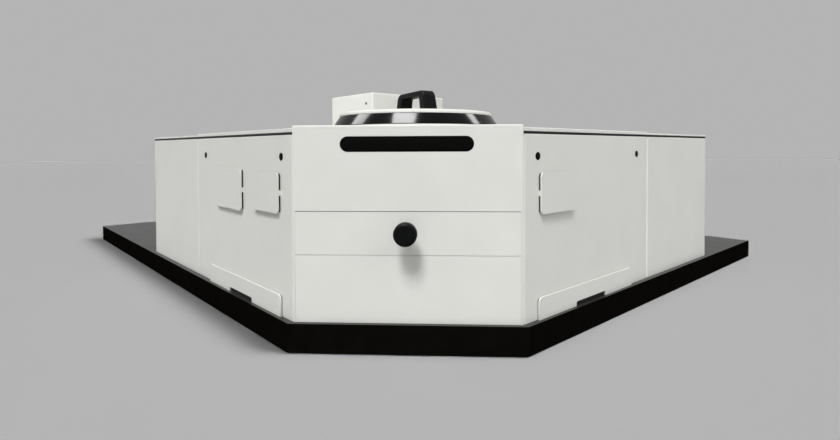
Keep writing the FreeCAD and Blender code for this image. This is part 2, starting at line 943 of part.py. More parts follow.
def grating_drive():
    top = deck_top + grating_drive_height
    stage = Part.makeCylinder(grating_drive_radius, grating_drive_height, Vec(0, 0, deck_top))
    bore = Part.makeCylinder(grating_spindle_radius + pin_clearance, grating_spindle + moving_gap,
                             Vec(0, 0, top - grating_spindle - moving_gap))
    motor = block(-grating_drive_radius / 2, grating_drive_radius / 2, grating_drive_radius / 2,
                  grating_drive_radius * 1.6, deck_top, top)
    return moved(joined(stage, motor).cut(bore), grating_position, grating_offset)


def grating_turret(side):
    seat = deck_top + grating_drive_height + moving_gap
    table_top = seat + grating_table
    spindle = Part.makeCylinder(grating_spindle_radius, grating_spindle, Vec(0, 0, seat - grating_spindle))
    table = Part.makeCylinder(grating_table_radius, grating_table, Vec(0, 0, seat))
    reach = grating_side / math.sqrt(3)
    corners = [(reach * math.cos(math.radians(angle)), reach * math.sin(math.radians(angle)))
               for angle in (60, 180, 300)]
    post = prism(corners, table_top, table_top + grating_height)
    turret = joined(spindle, table, post)
    return in_arm(moved(turret, grating_position, grating_offset), side)


def gratings(side):
    bottom = deck_top + grating_drive_height + moving_gap + grating_table
    face = grating_side / math.sqrt(3) / 2
    half = grating_side / 2 - grating_thickness / 2
    blank = block(face, face + grating_thickness, -half, half, bottom, bottom + grating_height)
    return in_arm(moved(group(*ring_of(blank, 3)), grating_position, grating_offset), side)


def slit_pair():
    half = slit_block_width / 2
    body = block(slit_position, slit_position + slit_block, -half, half, deck_top, slit_block_top)
    hole = rod(slit_aperture, (slit_position - overshoot, 0, beam_height),
               (slit_position + slit_block + overshoot, 0, beam_height))
    body = body.cut(hole)
    rail_gap = jaw_height / 2 + slide_gap
    rails = []
    for low in (beam_height - rail_gap - slit_rail_height, beam_height + rail_gap):
        rails.append(block(slit_position - slit_rail, slit_position, -half, half, low, low + slit_rail_height))
    body = joined(body, *rails)
    fixed_jaw = block(slit_position - jaw_thickness, slit_position, -half, 0,
                      beam_height - jaw_height / 2, beam_height + jaw_height / 2)
    body = joined(body, fixed_jaw)
    return group(moved(body, 0, beam_offset), moved(body, 0, return_offset))


def slit_jaw(side):
    back = slit_position - slide_gap
    jaw = block(back - jaw_thickness, back, slide_gap, slide_gap + jaw_width,
                beam_height - jaw_height / 2, beam_height + jaw_height / 2)
    return in_arm(moved(jaw, 0, beam_offset), side)


def filter_wheel(side):
    back = filter_wheel_front + filter_wheel_thickness
    wheel = rod(filter_wheel_radius, (filter_wheel_front, 0, 0), (back, 0, 0))
    hole = rod(filter_radius, (filter_wheel_front - overshoot, filter_orbit, 0),
               (back + overshoot, filter_orbit, 0))
    wheel = wheel.cut(ring_of(hole, filter_count, axis=Vec(1, 0, 0)))
    motor_face = filter_wheel_front - filter_wheel_thickness
    hub = rod(filter_hub_radius, (motor_face + moving_gap, 0, 0), (filter_wheel_front, 0, 0))
    shaft = rod(filter_shaft_radius, (motor_face - filter_shaft_length, 0, 0),
                (motor_face + moving_gap, 0, 0))
    return in_arm(moved(joined(wheel, hub, shaft), 0, filter_axis_offset, beam_height), side)


def filter_drive():
    half = motor_size / 2
    motor_face = filter_wheel_front - filter_wheel_thickness
    motor = block(motor_face - motor_length, motor_face, -half, half,
                  beam_height - half, beam_height + half)
    pillar = block(motor_face - motor_pillar, motor_face, -half, half, deck_top, beam_height - half)
    bore = rod(filter_shaft_radius + pin_clearance,
               (motor_face - filter_shaft_length - moving_gap, 0, beam_height),
               (motor_face + overshoot, 0, beam_height))
    drive = joined(motor, pillar).cut(bore)
    return moved(drive, 0, filter_axis_offset)


def shutter_blade(side):
    front = blade_position
    back = blade_position + blade_thickness
    pivot = (shutter_side, shutter_rise)
    reach = math.hypot(*pivot)
    lean = math.degrees(math.atan2(shutter_rise, shutter_side))
    disc = rod(blade_radius, (front, 0, 0), (back, 0, 0))
    arm = block(front, back, 0, reach, -blade_arm / 2, blade_arm / 2)
    hub = rod(blade_hub_radius, (front, reach, 0), (back, reach, 0))
    shaft = rod(shutter_shaft_radius, (back, reach, 0),
                (back + moving_gap + shutter_shaft_length, reach, 0))
    blade = spun(joined(disc, arm, hub, shaft), lean, axis=Vec(1, 0, 0))
    return in_arm(moved(blade, 0, beam_offset, beam_height), side)


def shutter_solenoid():
    front = blade_position + blade_thickness + moving_gap
    back = front + solenoid_length
    height = beam_height + shutter_rise
    can = rod(solenoid_radius, (front, shutter_side, height), (back, shutter_side, height))
    post = block(back - solenoid_post, back, shutter_side - solenoid_post / 2,
                 shutter_side + solenoid_post / 2, deck_top, height)
    bore = rod(shutter_shaft_radius + pin_clearance, (front - overshoot, shutter_side, height),
               (front + shutter_shaft_length + moving_gap, shutter_side, height))
    solenoid = joined(can, post).cut(bore)
    return moved(solenoid, 0, beam_offset)


# Lamp and detector

def optics_housing(side):
    near = return_offset - housing_width / 2
    far = return_offset + housing_width / 2
    shell = block(housing_start, housing_end, near, far, housing_bottom, housing_top)
    inside = block(housing_start + housing_wall, housing_end - housing_wall, near + housing_wall,
                   far - housing_wall, housing_bottom + housing_wall, housing_top - housing_wall)
    port = rod(housing_port_radius, (housing_end - housing_wall - overshoot, return_offset, beam_height),
               (housing_end + overshoot, return_offset, beam_height))
    legs = []
    for x in (housing_start + housing_leg_inset, housing_end - housing_leg_inset):
        for y in (far - housing_leg_inset, far - housing_leg_inset - housing_leg_depth):
            legs.append(square_post(housing_leg, x, y, 0, housing_bottom))
    return in_arm(joined(shell.cut([inside, port]), *legs), side)


def tube_socket():
    floor_level = housing_bottom + housing_wall
    return Part.makeCylinder(tube_socket_radius, tube_socket_height,
                             Vec(tube_position, return_offset, floor_level))


def lamp():
    base = housing_bottom + housing_wall + tube_socket_height
    top = 2 * beam_height - base
    axis = Vec(tube_position, return_offset, 0)
    stem = Part.makeCylinder(bulb_stem_radius, top - base, axis + UP * base)
    waist = bulb_radius / 2
    bulb = turned([(0, -bulb_radius), (bulb_radius, -waist), (bulb_radius, waist), (0, bulb_radius)],
                  axis + UP * beam_height)
    return in_arm(joined(tube_socket(), stem, bulb), "left")


def detector_tube():
    base = housing_bottom + housing_wall + tube_socket_height
    tube = Part.makeCylinder(tube_radius, tube_length, Vec(tube_position, return_offset, base))
    return in_arm(joined(tube_socket(), tube), "right")


# Rear supply housing, its fan, rocker and cable gland

def fan_guard():
    outer_face = rear_width
    inner_face = rear_width - rear_wall
    centre = rear_depth / 2
    parts = [rod(fan_boss_radius, (inner_face, centre, fan_height), (outer_face, centre, fan_height)),
             rod(fan_pin_radius, (inner_face - fan_pin_length, centre, fan_height),
                 (inner_face, centre, fan_height))]
    half = fan_guard_bar / 2
    reach = fan_radius + overshoot
    parts.append(block(inner_face, outer_face, centre - half, centre + half,
                       fan_height - reach, fan_height + reach))
    rows = int(fan_radius / fan_guard_pitch)
    for step in range(-rows, rows + 1):
        middle = fan_height + step * fan_guard_pitch
        half_bar = math.sqrt(reach ** 2 - (step * fan_guard_pitch) ** 2)
        parts.append(block(inner_face, outer_face, centre - half_bar, centre + half_bar,
                           middle - half, middle + half))
    return joined(*parts)


def rear_housing():
    shell = block(0, rear_width, 0, rear_depth, 0, rear_height - rear_cap)
    shell = shell.makeFillet(casing_edge, edges_along(shell, UP))
    inside = block(rear_wall, rear_width - rear_wall, rear_wall, rear_depth - rear_wall,
                   rear_wall, rear_height)
    centre = rear_depth / 2
    fan_mouth = rod(fan_radius, (rear_width - rear_wall - overshoot, centre, fan_height),
                    (rear_width + overshoot, centre, fan_height))
    gland_hole = rod(gland_radius / 2 + pin_clearance,
                     (rear_width - rear_wall - overshoot, centre, gland_height),
                     (rear_width + overshoot, centre, gland_height))
    plug_hole = rod(rear_plug_radius / 2 + pin_clearance, (-overshoot, rear_plug_side, rear_plug_height),
                    (rear_wall + overshoot, rear_plug_side, rear_plug_height))
    half_width = rocker_width / 2 + slide_gap
    half_length = rocker_length / 2 + rocker_tilt_room
    rocker_hole = block(rear_width - rear_wall - overshoot, rear_width + overshoot, centre - half_width,
                        centre + half_width, rocker_height - half_length, rocker_height + half_length)
    housing = shell.cut([inside, fan_mouth, gland_hole, plug_hole, rocker_hole])
    ears = []
    pin_x = rear_width - rear_wall - rocker_depth / 2
    for sign in (-1, 1):
        inner = centre + sign * half_width
        outer = inner + sign * 2 * rocker_pin_length
        ear = block(rear_width - rear_wall - rocker_depth, rear_width - rear_wall, min(inner, outer),
                    max(inner, outer), rocker_height - 2 * rocker_pin_length,
                    rocker_height + 2 * rocker_pin_length)
        bore = rod(rocker_pin_radius + pin_clearance, (pin_x, inner - sign * overshoot, rocker_height),
                   (pin_x, inner + sign * (rocker_pin_length + moving_gap), rocker_height))
        ears.append(ear.cut(bore))
    return in_rear(joined(housing, fan_guard(), *ears))


def rear_cover():
    cap = block(0, rear_width, 0, rear_depth, rear_height - rear_cap, rear_height)
    cap = cap.makeFillet(casing_edge, edges_along(cap, UP))
    cap = cap.makeChamfer(rear_cap_edge, level_edges(cap, rear_height))
    return in_rear(cap)


def fan_rotor():
    centre = rear_depth / 2
    front = rear_width - rear_wall - moving_gap
    back = front - fan_hub_length
    hub = rod(fan_hub_radius, (back, 0, 0), (front, 0, 0))
    half = fan_blade_thickness / 2
    tip = fan_radius - fan_blade_tip_gap
    blade = block(back, front, -half, half, fan_hub_radius - overshoot, tip)
    middle = Vec((front + back) / 2, 0, 0)
    blade = spun(blade, fan_blade_pitch, middle, UP)
    rotor = joined(hub, *ring_of(blade, fan_blade_count, axis=Vec(1, 0, 0)))
    bore = rod(fan_pin_radius + pin_clearance, (rear_width - rear_wall - fan_pin_length - moving_gap, 0, 0),
               (front + overshoot, 0, 0))
    return in_rear(moved(rotor.cut(bore), 0, centre, fan_height))


def cable_gland():
    centre = rear_depth / 2
    profile = [(0, -rear_wall), (gland_radius / 2, -rear_wall), (gland_radius / 2, 0), (gland_radius, 0),
               (gland_radius, gland_reach), (cord_radius, gland_reach), (cord_radius, 0), (0, 0)]
    gland = spun(turned(profile), 90, axis=Vec(0, 1, 0))
    return in_rear(moved(gland, rear_width, centre, gland_height))


def power_rocker():
    centre = rear_depth / 2
    pin_x = rear_width - rear_wall - rocker_depth / 2
    half = rocker_length / 2
    back = pin_x - rocker_pin_radius * 1.5
    front = rear_width + rocker_proud
    outline = [(back, -half / 2), (front, -half), (front - rocker_proud, 0), (front, half), (back, half / 2)]
    corners = [Vec(x, -rocker_width / 2, z) for x, z in outline]
    face = Part.Face(Part.makePolygon(corners + corners[:1]))
    rocker = face.extrude(Vec(0, rocker_width, 0))
    reach = rocker_width / 2 + rocker_pin_length
    pin = rod(rocker_pin_radius, (pin_x, -reach, 0), (pin_x, reach, 0))
    return in_rear(moved(joined(rocker, pin), 0, centre, rocker_height))


os.makedirs("parts", exist_ok=True)

save("base_shell", base_shell())
save("base_core", base_core())
save("base_pads", base_pads())
save("chamber_body", in_chamber(chamber_body()))
save("chamber_top", in_chamber(chamber_top()))
save("front_surround", in_chamber(front_surround()))
save("front_lower_panel", in_chamber(lower_panel()))
save("front_flap", in_chamber(front_flap()))
save("flap_hinge_pins", in_chamber(flap_pins()))
save("pull_knob", in_chamber(pull_knob()))
save("smoked_window", in_chamber(smoked_window()))
save("lid_ring", in_chamber(lid_ring()))
save("lid_disc", in_chamber(lid_disc()))
save("lid_handle", in_chamber(lid_handle()))
save("sample_stage", in_chamber(sample_stage()))
save("sample_turret", in_chamber(sample_turret()))
save("cuvettes", in_chamber(cuvettes()))
save("lens_tubes", in_chamber(lens_tubes()))
save("sample_lenses", in_chamber(sample_lenses()))

for side in ("left", "right"):
    save(side + "_main_casing", main_casing(side))
    save(side + "_end_casing", end_casing(side))
    save(side + "_main_lid", main_lid(side))
    save(side + "_end_lid", end_lid(side))
    save(side + "_front_port_plate", front_port_plate(side))
    save(side + "_access_panel", access_panel(side))
    save(side + "_grating_turret", grating_turret(side))
    save(side + "_filter_wheel", filter_wheel(side))
    save(side + "_shutter_blade", shutter_blade(side))
    save(side + "_slit_jaw", slit_jaw(side))

save("left_rear_port_plate", rear_port_plate("left"))
save("gratings_left", gratings("left"))
save("gratings_right", gratings("right"))
save("hole_plugs", hole_plugs())
save("lid_gaskets", in_both_arms(lid_gasket()))
save("optical_decks", in_both_arms(optical_deck()))
save("mirror_mounts", in_both_arms(mirror_pair(mirror_mount())))
save("mirrors", in_both_arms(mirror_pair(mirror())))
save("grating_drives", in_both_arms(grating_drive()))
save("slit_blocks", in_both_arms(slit_pair()))
save("filter_drives", in_both_arms(filter_drive()))
save("shutter_solenoids", in_both_arms(shutter_solenoid()))
save("lamp_housing", optics_housing("left"))
save("detector_housing", optics_housing("right"))
save("arc_lamp", lamp())
save("detector_tube", detector_tube())
save("rear_housing", rear_housing())
save("rear_cover", rear_cover())
save("fan_rotor", fan_rotor())
save("cable_gland", cable_gland())
save("power_rocker", power_rocker())
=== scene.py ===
import math

import bmesh
import bpy
from mathutils import Matrix, Vector


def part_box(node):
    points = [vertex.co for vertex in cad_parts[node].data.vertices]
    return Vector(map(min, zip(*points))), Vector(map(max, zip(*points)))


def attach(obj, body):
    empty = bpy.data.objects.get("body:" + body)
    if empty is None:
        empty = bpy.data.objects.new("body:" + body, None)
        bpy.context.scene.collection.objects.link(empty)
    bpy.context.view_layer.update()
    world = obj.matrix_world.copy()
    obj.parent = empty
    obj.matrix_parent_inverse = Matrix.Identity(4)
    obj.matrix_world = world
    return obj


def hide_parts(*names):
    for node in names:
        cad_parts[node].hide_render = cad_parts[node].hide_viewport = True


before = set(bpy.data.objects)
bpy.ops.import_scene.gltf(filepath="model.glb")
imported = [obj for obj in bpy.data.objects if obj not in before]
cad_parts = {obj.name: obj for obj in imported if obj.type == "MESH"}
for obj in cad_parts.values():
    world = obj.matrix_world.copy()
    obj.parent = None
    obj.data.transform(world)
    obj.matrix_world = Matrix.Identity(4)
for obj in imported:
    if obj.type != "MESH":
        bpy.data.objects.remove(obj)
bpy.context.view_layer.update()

bl_info = {
    "name": "Photoluminescence spectrometer",
    "version": (1, 0, 0),
    "blender": (4, 5, 0),
    "location": "3D View > Sidebar > Spectrometer",
    "description": "Dresses the spectrometer's frame with its finishes, lid, knob and small parts",
    "category": "Object",
}

MM = 0.001
SQUARE_HALF = math.sqrt(0.5)
UP = Vector((0.0, 0.0, 1.0))
SIDES = ("left", "right")

# Lengths of the frame, as the CAD states them, in millimetres
BASE_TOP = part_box("base_shell")[1][2] / MM
SAMPLE_DEPTH = -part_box("front_surround")[0][1] / MM
HALF_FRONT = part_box("front_surround")[1][0] / MM
ARM_LENGTH = 842.0
ARM_DEPTH = 400.0
BEAM_HEIGHT = 170.0
BEAM_OFFSET = (HALF_FRONT + SAMPLE_DEPTH) * SQUARE_HALF
RETURN_OFFSET = 74.9
REAR_CORNER = (-145.0, 600.0 - SAMPLE_DEPTH)
REAR_WIDTH = 287.0
REAR_DEPTH = 218.0
PLUG_PLACES = (42.0, 420.0)
PLUG_HEIGHT = 290.0
WHEEL_PLACE = 439.0
SLIT_PLACE = 461.0
THIMBLE_HEIGHT = 211.0
DECK_HEIGHT = 105.0
LOUVRE_GAP = 7.0
LOUVRE_START = 93.5

# Nearly all of a noise lies between these
GRAIN_LOW = 0.3
GRAIN_HIGH = 0.7

# Raised plates: side, start and end along the arm, bottom and top, gap to the wall
RAISED_PLATES = [(side, 44.0, 149.0, 187.0, 261.0, 4.0) for side in SIDES]
RAISED_PLATES += [(side, 40.5, 388.0, -6.0, 39.5, 2.0) for side in SIDES]
RAISED_PLATES.append(("left", 207.0, 341.0, 178.5, 263.0, 4.0))

# The stage, in metres, and the photograph's camera, in millimetres, degrees and pixels
FLOOR_HALF = 14.0
TENT_RADIUS = 18.0
LAMP_DISTANCE = 3.5
EYE = (68.84, -1150.77, 357.71)
YAW_PITCH_ROLL = (-2.958, 1.112, 0.21)
PICTURE_WIDTH = 840.0
PICTURE_MIDDLE = 220.0
LENS_MIDDLE = 157.92
FOCAL_LENGTH = 511.706
FILM_WIDTH = 36.0


# Places

def arm_place(side, along, inward, height):
    """A point of an arm: millimetres along its outer wall, inwards from it and above the base."""
    x = HALF_FRONT + (along - inward) * SQUARE_HALF
    y = -SAMPLE_DEPTH + (along + inward) * SQUARE_HALF
    return Vector((x if side == "right" else -x, y, height + BASE_TOP)) * MM


def arm_way(side, along, inward):
    """A level direction, given by its shares along an arm and inwards."""
    x = (along - inward) * SQUARE_HALF
    y = (along + inward) * SQUARE_HALF
    return Vector((x if side == "right" else -x, y, 0.0)).normalized()


def rear_place(across, deep, height):
    """A point of the supply housing, in millimetres from its left corner."""
    x = REAR_CORNER[0] + (across - deep) * SQUARE_HALF
    y = REAR_CORNER[1] + (across + deep) * SQUARE_HALF
    return Vector((x, y, height + BASE_TOP)) * MM


def rear_way(across, deep):
    return Vector(((across - deep) * SQUARE_HALF, (across + deep) * SQUARE_HALF, 0.0)).normalized()


def placed(origin, x_way, y_way, z_way):
    """The matrix that carries a shape from its own axes to a place."""
    return Matrix.Translation(origin) @ Matrix((x_way, y_way, z_way)).transposed().to_4x4()


# Colours and nodes

def linear(code):
    channels = []
    for start in (1, 3, 5):
        value = int(code[start:start + 2], 16) / 255
        channels.append(value / 12.92 if value <= 0.04045 else ((value + 0.055) / 1.055) ** 2.4)
    return tuple(channels)


def rgba(colour):
    return (colour[0], colour[1], colour[2], 1.0)


def add_node(tree, kind, settings=None, links=None):
    """Adds one node, with its attributes, its inputs' values and the sockets or nodes linked into it."""
    node = tree.nodes.new(kind)
    for key, value in (settings or {}).items():
        if isinstance(key, int) or key in node.inputs:
            node.inputs[key].default_value = value
        else:
            setattr(node, key, value)
    for key, source in (links or {}).items():
        if isinstance(source, bpy.types.Node):
            source = source.outputs[0]
        tree.links.new(source, node.inputs[key])
    return node


def grain(tree, millimetres, detail=2.0, stretch=None):
    """Noise whose features are so many millimetres wide, and longer along an axis where stretched."""
    place = add_node(tree, "ShaderNodeTexCoord").outputs["Object"]
    if stretch:
        place = add_node(tree, "ShaderNodeMapping", {"Scale": stretch}, {"Vector": place})
    return add_node(tree, "ShaderNodeTexNoise", {"Scale": 1.0 / (millimetres * MM), "Detail": detail},
                    {"Vector": place})


# Materials

def start_material(colour, surface):
    material = bpy.data.materials.new("finish")
    material.use_nodes = True
    shader = material.node_tree.nodes["Principled BSDF"]
    shader.inputs["Base Color"].default_value = rgba(colour)
    for socket, value in surface.items():
        shader.inputs[socket].default_value = value
    return material, material.node_tree, shader


def colour_by(tree, shader, source, stops):
    """Lets a pattern carry the surface through colours, each at its position of the pattern."""
    ramp = add_node(tree, "ShaderNodeValToRGB", links={"Fac": source})
    first, last = ramp.color_ramp.elements
    first.position, last.position = stops[0][0], stops[-1][0]
    first.color, last.color = rgba(stops[0][1]), rgba(stops[-1][1])
    for position, colour in stops[1:-1]:
        ramp.color_ramp.elements.new(position).color = rgba(colour)
    tree.links.new(ramp.outputs["Color"], shader.inputs["Base Color"])


def patterned(colour, surface, mottle=None, bump=None, polish=None):
    """A material whose colour, relief and roughness follow grains of their own.

    Each pattern starts with its grain: width in millimetres, detail and stretch. Then come a mottle's
    darkest and lightest share of the colour, a bump's depth in millimetres and its strength, and a
    polish's lowest and highest roughness.
    """
    material, tree, shader = start_material(colour, surface)
    if mottle:
        size, dark, light = mottle
        colour_by(tree, shader, grain(tree, *size),
                  ((GRAIN_LOW, Vector(colour) * dark), (GRAIN_HIGH, Vector(colour) * light)))
    if bump:
        size, depth, strength = bump
        relief = add_node(tree, "ShaderNodeBump", {"Strength": strength, "Distance": depth * MM},
                          {"Height": grain(tree, *size)})
        tree.links.new(relief.outputs["Normal"], shader.inputs["Normal"])
    if polish:
        size, low, high = polish
        limits = {"From Min": GRAIN_LOW, "From Max": GRAIN_HIGH, "To Min": low, "To Max": high}
        gloss = add_node(tree, "ShaderNodeMapRange", limits, {"Value": grain(tree, *size)})
        tree.links.new(gloss.outputs["Result"], shader.inputs["Roughness"])
    return material


def powder_coat_warm_white():
    # Powder-coated sheet steel: a warm white satin film whose orange peel softens every highlight
    return patterned(colours().casing, {"IOR": 1.42}, mottle=((70.0,), 0.975, 1.0),
                     bump=((1.6, 3.0), 0.02, 0.5), polish=((9.0,), 0.44, 0.52))


def black_flat_paint():
    # Dead-flat black paint on the plate's edges: it stays black from every side
    return patterned(colours().base_edge, {"Specular IOR Level": 0.0, "Roughness": 0.9},
                     mottle=((30.0,), 0.85, 1.15), bump=((2.0, 3.0), 0.01, 0.3))


def black_satin_paint_with_painted_sheen():
    # Satin black paint on the plate's top, mirroring walls and room at a low angle; its colour is painted
    # lighter grey than the edges' black, a painted reflection
    return patterned(colours().base_top_painted_sheen, {"IOR": 1.42}, mottle=((30.0,), 0.9, 1.1),
                     bump=((2.0, 3.0), 0.01, 0.3), polish=((60.0, 1.0), 0.31, 0.34))


def gloss_black_acrylic():
    # Turned black acrylic, polished: mirror-like with faint turning marks
    return patterned(colours().lid_ring, {"IOR": 1.3},
                     bump=((1.2, 2.0, (0.04, 0.04, 1.0)), 0.004, 0.3), polish=((14.0,), 0.11, 0.15))


def satin_black_anodised():
    # Black anodised bead-blasted aluminium, as on handle and knob: a dull sheen with a fine grit
    return patterned(colours().handle, {"IOR": 1.22}, bump=((0.5,), 0.012, 0.5),
                     polish=((6.0,), 0.40, 0.52))


def smoked_acrylic_matt():
    # Smoked acrylic with a matt anti-glare face: almost black, with no clear reflection
    return patterned(colours().window, {"IOR": 1.15}, bump=((0.4,), 0.006, 0.4),
                     polish=((10.0,), 0.55, 0.66))


def epdm_rubber():
    # Moulded EPDM rubber: matt, nearly black, slightly dusty
    return patterned(colours().rubber, {"IOR": 1.52, "Roughness": 0.72}, mottle=((3.0, 3.0), 0.8, 1.3),
                     bump=((0.8,), 0.02, 0.6))


def black_anodised_aluminium():
    # Black anodised machined aluminium: fine tool lines under a dark, softly shining skin
    return patterned(colours().optics, {"Metallic": 0.6},
                     bump=((0.8, 2.0, (1.0, 1.0, 12.0)), 0.01, 0.4), polish=((8.0,), 0.34, 0.46))


def clear_anodised_aluminium():
    # Milled and clear-anodised aluminium jig plate: pale grey with streaks along the cut
    streaks = (1.5, 3.0, (1.0, 14.0, 1.0))
    return patterned(colours().deck, {"Metallic": 1.0}, mottle=(streaks, 0.9, 1.05),
                     bump=(streaks, 0.008, 0.4), polish=(streaks, 0.28, 0.42))


def galvanised_sheet():
    # Galvanised steel sheet: cool grey with broad crystals
    material, tree, shader = start_material(linear("#8C9194"), {"Metallic": 1.0})
    place = add_node(tree, "ShaderNodeTexCoord").outputs["Object"]
    flakes = add_node(tree, "ShaderNodeTexVoronoi", {"Scale": 1.0 / (14 * MM)}, {"Vector": place})
    spread = add_node(tree, "ShaderNodeMapRange", {"To Min": 0.34, "To Max": 0.5}, {"Value": flakes})
    tree.links.new(spread.outputs["Result"], shader.inputs["Roughness"])
    return material


def zinc_plated_steel():
    # Zinc-plated steel screws: bright grey, slightly rough
    return patterned(linear("#A9ACAE"), {"Metallic": 1.0}, polish=((1.0,), 0.24, 0.38))


def ground_stainless_steel():
    # Ground stainless steel: fine lines along the part
    lines = (0.4, 2.0, (0.2, 4.0, 4.0))
    return patterned(linear("#B4B6B8"), {"Metallic": 1.0}, bump=(lines, 0.004, 0.4),
                     polish=(lines, 0.2, 0.34))


def silvered_mirror():
    # Silvered glass with a protective coat: clear reflection, a trace of haze
    return patterned(linear("#EDEEEE"), {"Metallic": 1.0}, polish=((12.0,), 0.02, 0.06))


def ruled_grating():
    # Ruled grating replica: a mirror with rulings, drawn coarser than real so that they show; the rulings'
    # cool and warm tints are a painted diffraction sheen
    surface = {"Metallic": 1.0, "Roughness": 0.12}
    material, tree, shader = start_material(linear("#DADDE2"), surface)
    place = add_node(tree, "ShaderNodeTexCoord").outputs["Object"]
    rulings = add_node(tree, "ShaderNodeTexWave", {"Scale": 1.0 / (2.4 * MM), "wave_profile": "SIN"},
                       {"Vector": place})
    # Painted sheen: bluish and amber bands stand in for the colours the grating splits light into
    colour_by(tree, shader, rulings.outputs["Fac"],
              ((0.0, linear("#C4CBDD")), (1.0, linear("#E6DFD2"))))
    return material


def clear_glass(code, roughness):
    return patterned(linear(code), {"IOR": 1.46, "Transmission Weight": 1.0},
                     polish=((8.0,), roughness * 0.5, roughness))


def fused_quartz():
    # Polished fused quartz, as the cuvettes: colourless, with a trace of haze
    return clear_glass("#F4F8F8", 0.03)


def coated_lens_glass():
    # Polished lens glass with a coat: clear and slightly cool
    return clear_glass("#EAF2F6", 0.02)


def lamp_envelope():
    # Blown glass, as around the lamp and the detector's tube: greyish and faintly clouded
    return clear_glass("#DDE3E6", 0.12)


def coloured_filter_glass():
    # Coloured filter glass set: each disc has its own tint, from violet to red
    surface = {"IOR": 1.52, "Roughness": 0.04, "Transmission Weight": 0.75}
    material, tree, shader = start_material(linear("#C9B25A"), surface)
    number = add_node(tree, "ShaderNodeAttribute", {"attribute_name": "tint"})
    tints = ("#6F5FB8", "#4F8FC9", "#5DB07A", "#D8CF5A", "#E08A36", "#C4432E")
    colour_by(tree, shader, number.outputs["Fac"],
              [(place / (len(tints) - 1), linear(code)) for place, code in enumerate(tints)])
    return material


def moulded_plastic(code, ior):
    # Injection-moulded plastic: an even colour with a fine spark-eroded texture
    return patterned(linear(code), {"IOR": ior}, bump=((0.7,), 0.02, 0.5), polish=((5.0,), 0.45, 0.55))


def black_abs():
    # Moulded ABS, as on drives, fan and rocker: dark grey with a soft shine
    return moulded_plastic("#1A1B1C", 1.54)


def black_polypropylene():
    # Moulded polypropylene, as on the plugs: deep black with hardly any shine
    return moulded_plastic("#060606", 1.15)


def pale_paper():
    # Seamless paper that the lights bring up to a pale ground: fully matt, with a barely visible mottle
    return patterned(linear("#777777"), {"Specular IOR Level": 0.0, "Roughness": 0.9},
                     mottle=((180.0,), 0.99, 1.0))


FINISHES = {maker.__name__: maker for maker in (
    powder_coat_warm_white, black_flat_paint, black_satin_paint_with_painted_sheen, gloss_black_acrylic,
    satin_black_anodised, smoked_acrylic_matt, epdm_rubber, black_anodised_aluminium,
    clear_anodised_aluminium, galvanised_sheet, zinc_plated_steel, ground_stainless_steel,
    silvered_mirror, ruled_grating, fused_quartz, coated_lens_glass, lamp_envelope,
    coloured_filter_glass, black_abs, black_polypropylene, pale_paper)}


def finish_named(name):
    """The finish of that name, made once and then shared."""
    if name not in bpy.data.materials:
        material = FINISHES[name]()
        material.name = name
    return bpy.data.materials[name]


# Meshes

def rounded(corners, steps=5, closed=True):
    """The outline through corners given as (x, y, radius), with each corner turned into an arc."""
    points = []
    count = len(corners)
    for number, (x, y, radius) in enumerate(corners):
        if radius == 0 or (not closed and number in (0, count - 1)):
            points.append((x, y))
            continue
        corner = Vector((x, y))
        back = (Vector(corners[number - 1][:2]) - corner).normalized()
        ahead = (Vector(corners[(number + 1) % count][:2]) - corner).normalized()
        half = back.angle(ahead) / 2
        centre = corner + (back + ahead).normalized() * (radius / math.sin(half))
        start = corner + back * (radius / math.tan(half)) - centre
        turn = start.angle_signed(corner + ahead * (radius / math.tan(half)) - centre)
        for step in range(steps + 1):
            angle = -turn * step / steps
            spoke = Vector((start.x * math.cos(angle) - start.y * math.sin(angle),
                            start.x * math.sin(angle) + start.y * math.cos(angle)))
            points.append(tuple(centre + spoke))
    return points


def lathe(profile, steps, closed):
    """Turns a profile of (radius, height) about the Z axis; an open one starts and ends on the axis."""
    shape = bmesh.new()
    rings = []
    for radius, height in profile:
        if radius < 1e-6:
            rings.append([shape.verts.new((0.0, 0.0, height))])
            continue
        ring = []
        for step in range(steps):
            angle = 2 * math.pi * step / steps
            ring.append(shape.verts.new((radius * math.cos(angle), radius * math.sin(angle), height)))
        rings.append(ring)
    pairs = list(zip(rings, rings[1:]))
    if closed:
        pairs.append((rings[-1], rings[0]))
    for lower, upper in pairs:
        for step in range(steps):
            following = (step + 1) % steps
            loop = []
            for ring, place in ((lower, step), (lower, following), (upper, following), (upper, step)):
                vertex = ring[place % len(ring)]
                if vertex not in loop:
                    loop.append(vertex)
            if len(loop) > 2:
                shape.faces.new(loop)
    bmesh.ops.recalc_face_normals(shape, faces=shape.faces)
    return shape


def slab(outline, low, high):
    """A slab whose outline lies in the XZ plane, from y=low to y=high."""
    shape = bmesh.new()
    front = [shape.verts.new((x, low, z)) for x, z in outline]
    back = [shape.verts.new((x, high, z)) for x, z in outline]
    shape.faces.new(front)
    shape.faces.new(back)
    for number in range(len(outline)):
        following = (number + 1) % len(outline)
        shape.faces.new((front[number], front[following], back[following], back[number]))
    bmesh.ops.recalc_face_normals(shape, faces=shape.faces)
    return shape


def bevel(shape, edges, width, segments, clamped=False):
    """Rounds edges and returns the new faces."""
    return bmesh.ops.bevel(shape, geom=edges, offset=width, segments=segments, profile=0.5,
                           affect="EDGES", clamp_overlap=clamped)["faces"]


def mark_curved(shape, limit=35.0):
    """Shades smooth each face that meets a neighbour at a small angle, as the facets of a curve do."""
    for edge in shape.edges:
        if len(edge.link_faces) == 2:
            angle = math.degrees(edge.calc_face_angle(0.0))
            if 1.0 < angle < limit:
                for face in edge.link_faces:
                    face.smooth = True


def new_object(name, data):
    item = bpy.data.objects.new(name, data)
    bpy.context.collection.objects.link(item)
    return item


def make_piece(name, mesh, material, body, replaced=()):
    """Names a finished mesh, gives it its material and lets it ride with a body."""
    mesh.name = name
    if not mesh.materials:
        mesh.materials.append(finish_named(material))
    piece = new_object(name, mesh)
    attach(piece, body)
    if replaced:
        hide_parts(*replaced)
    return piece


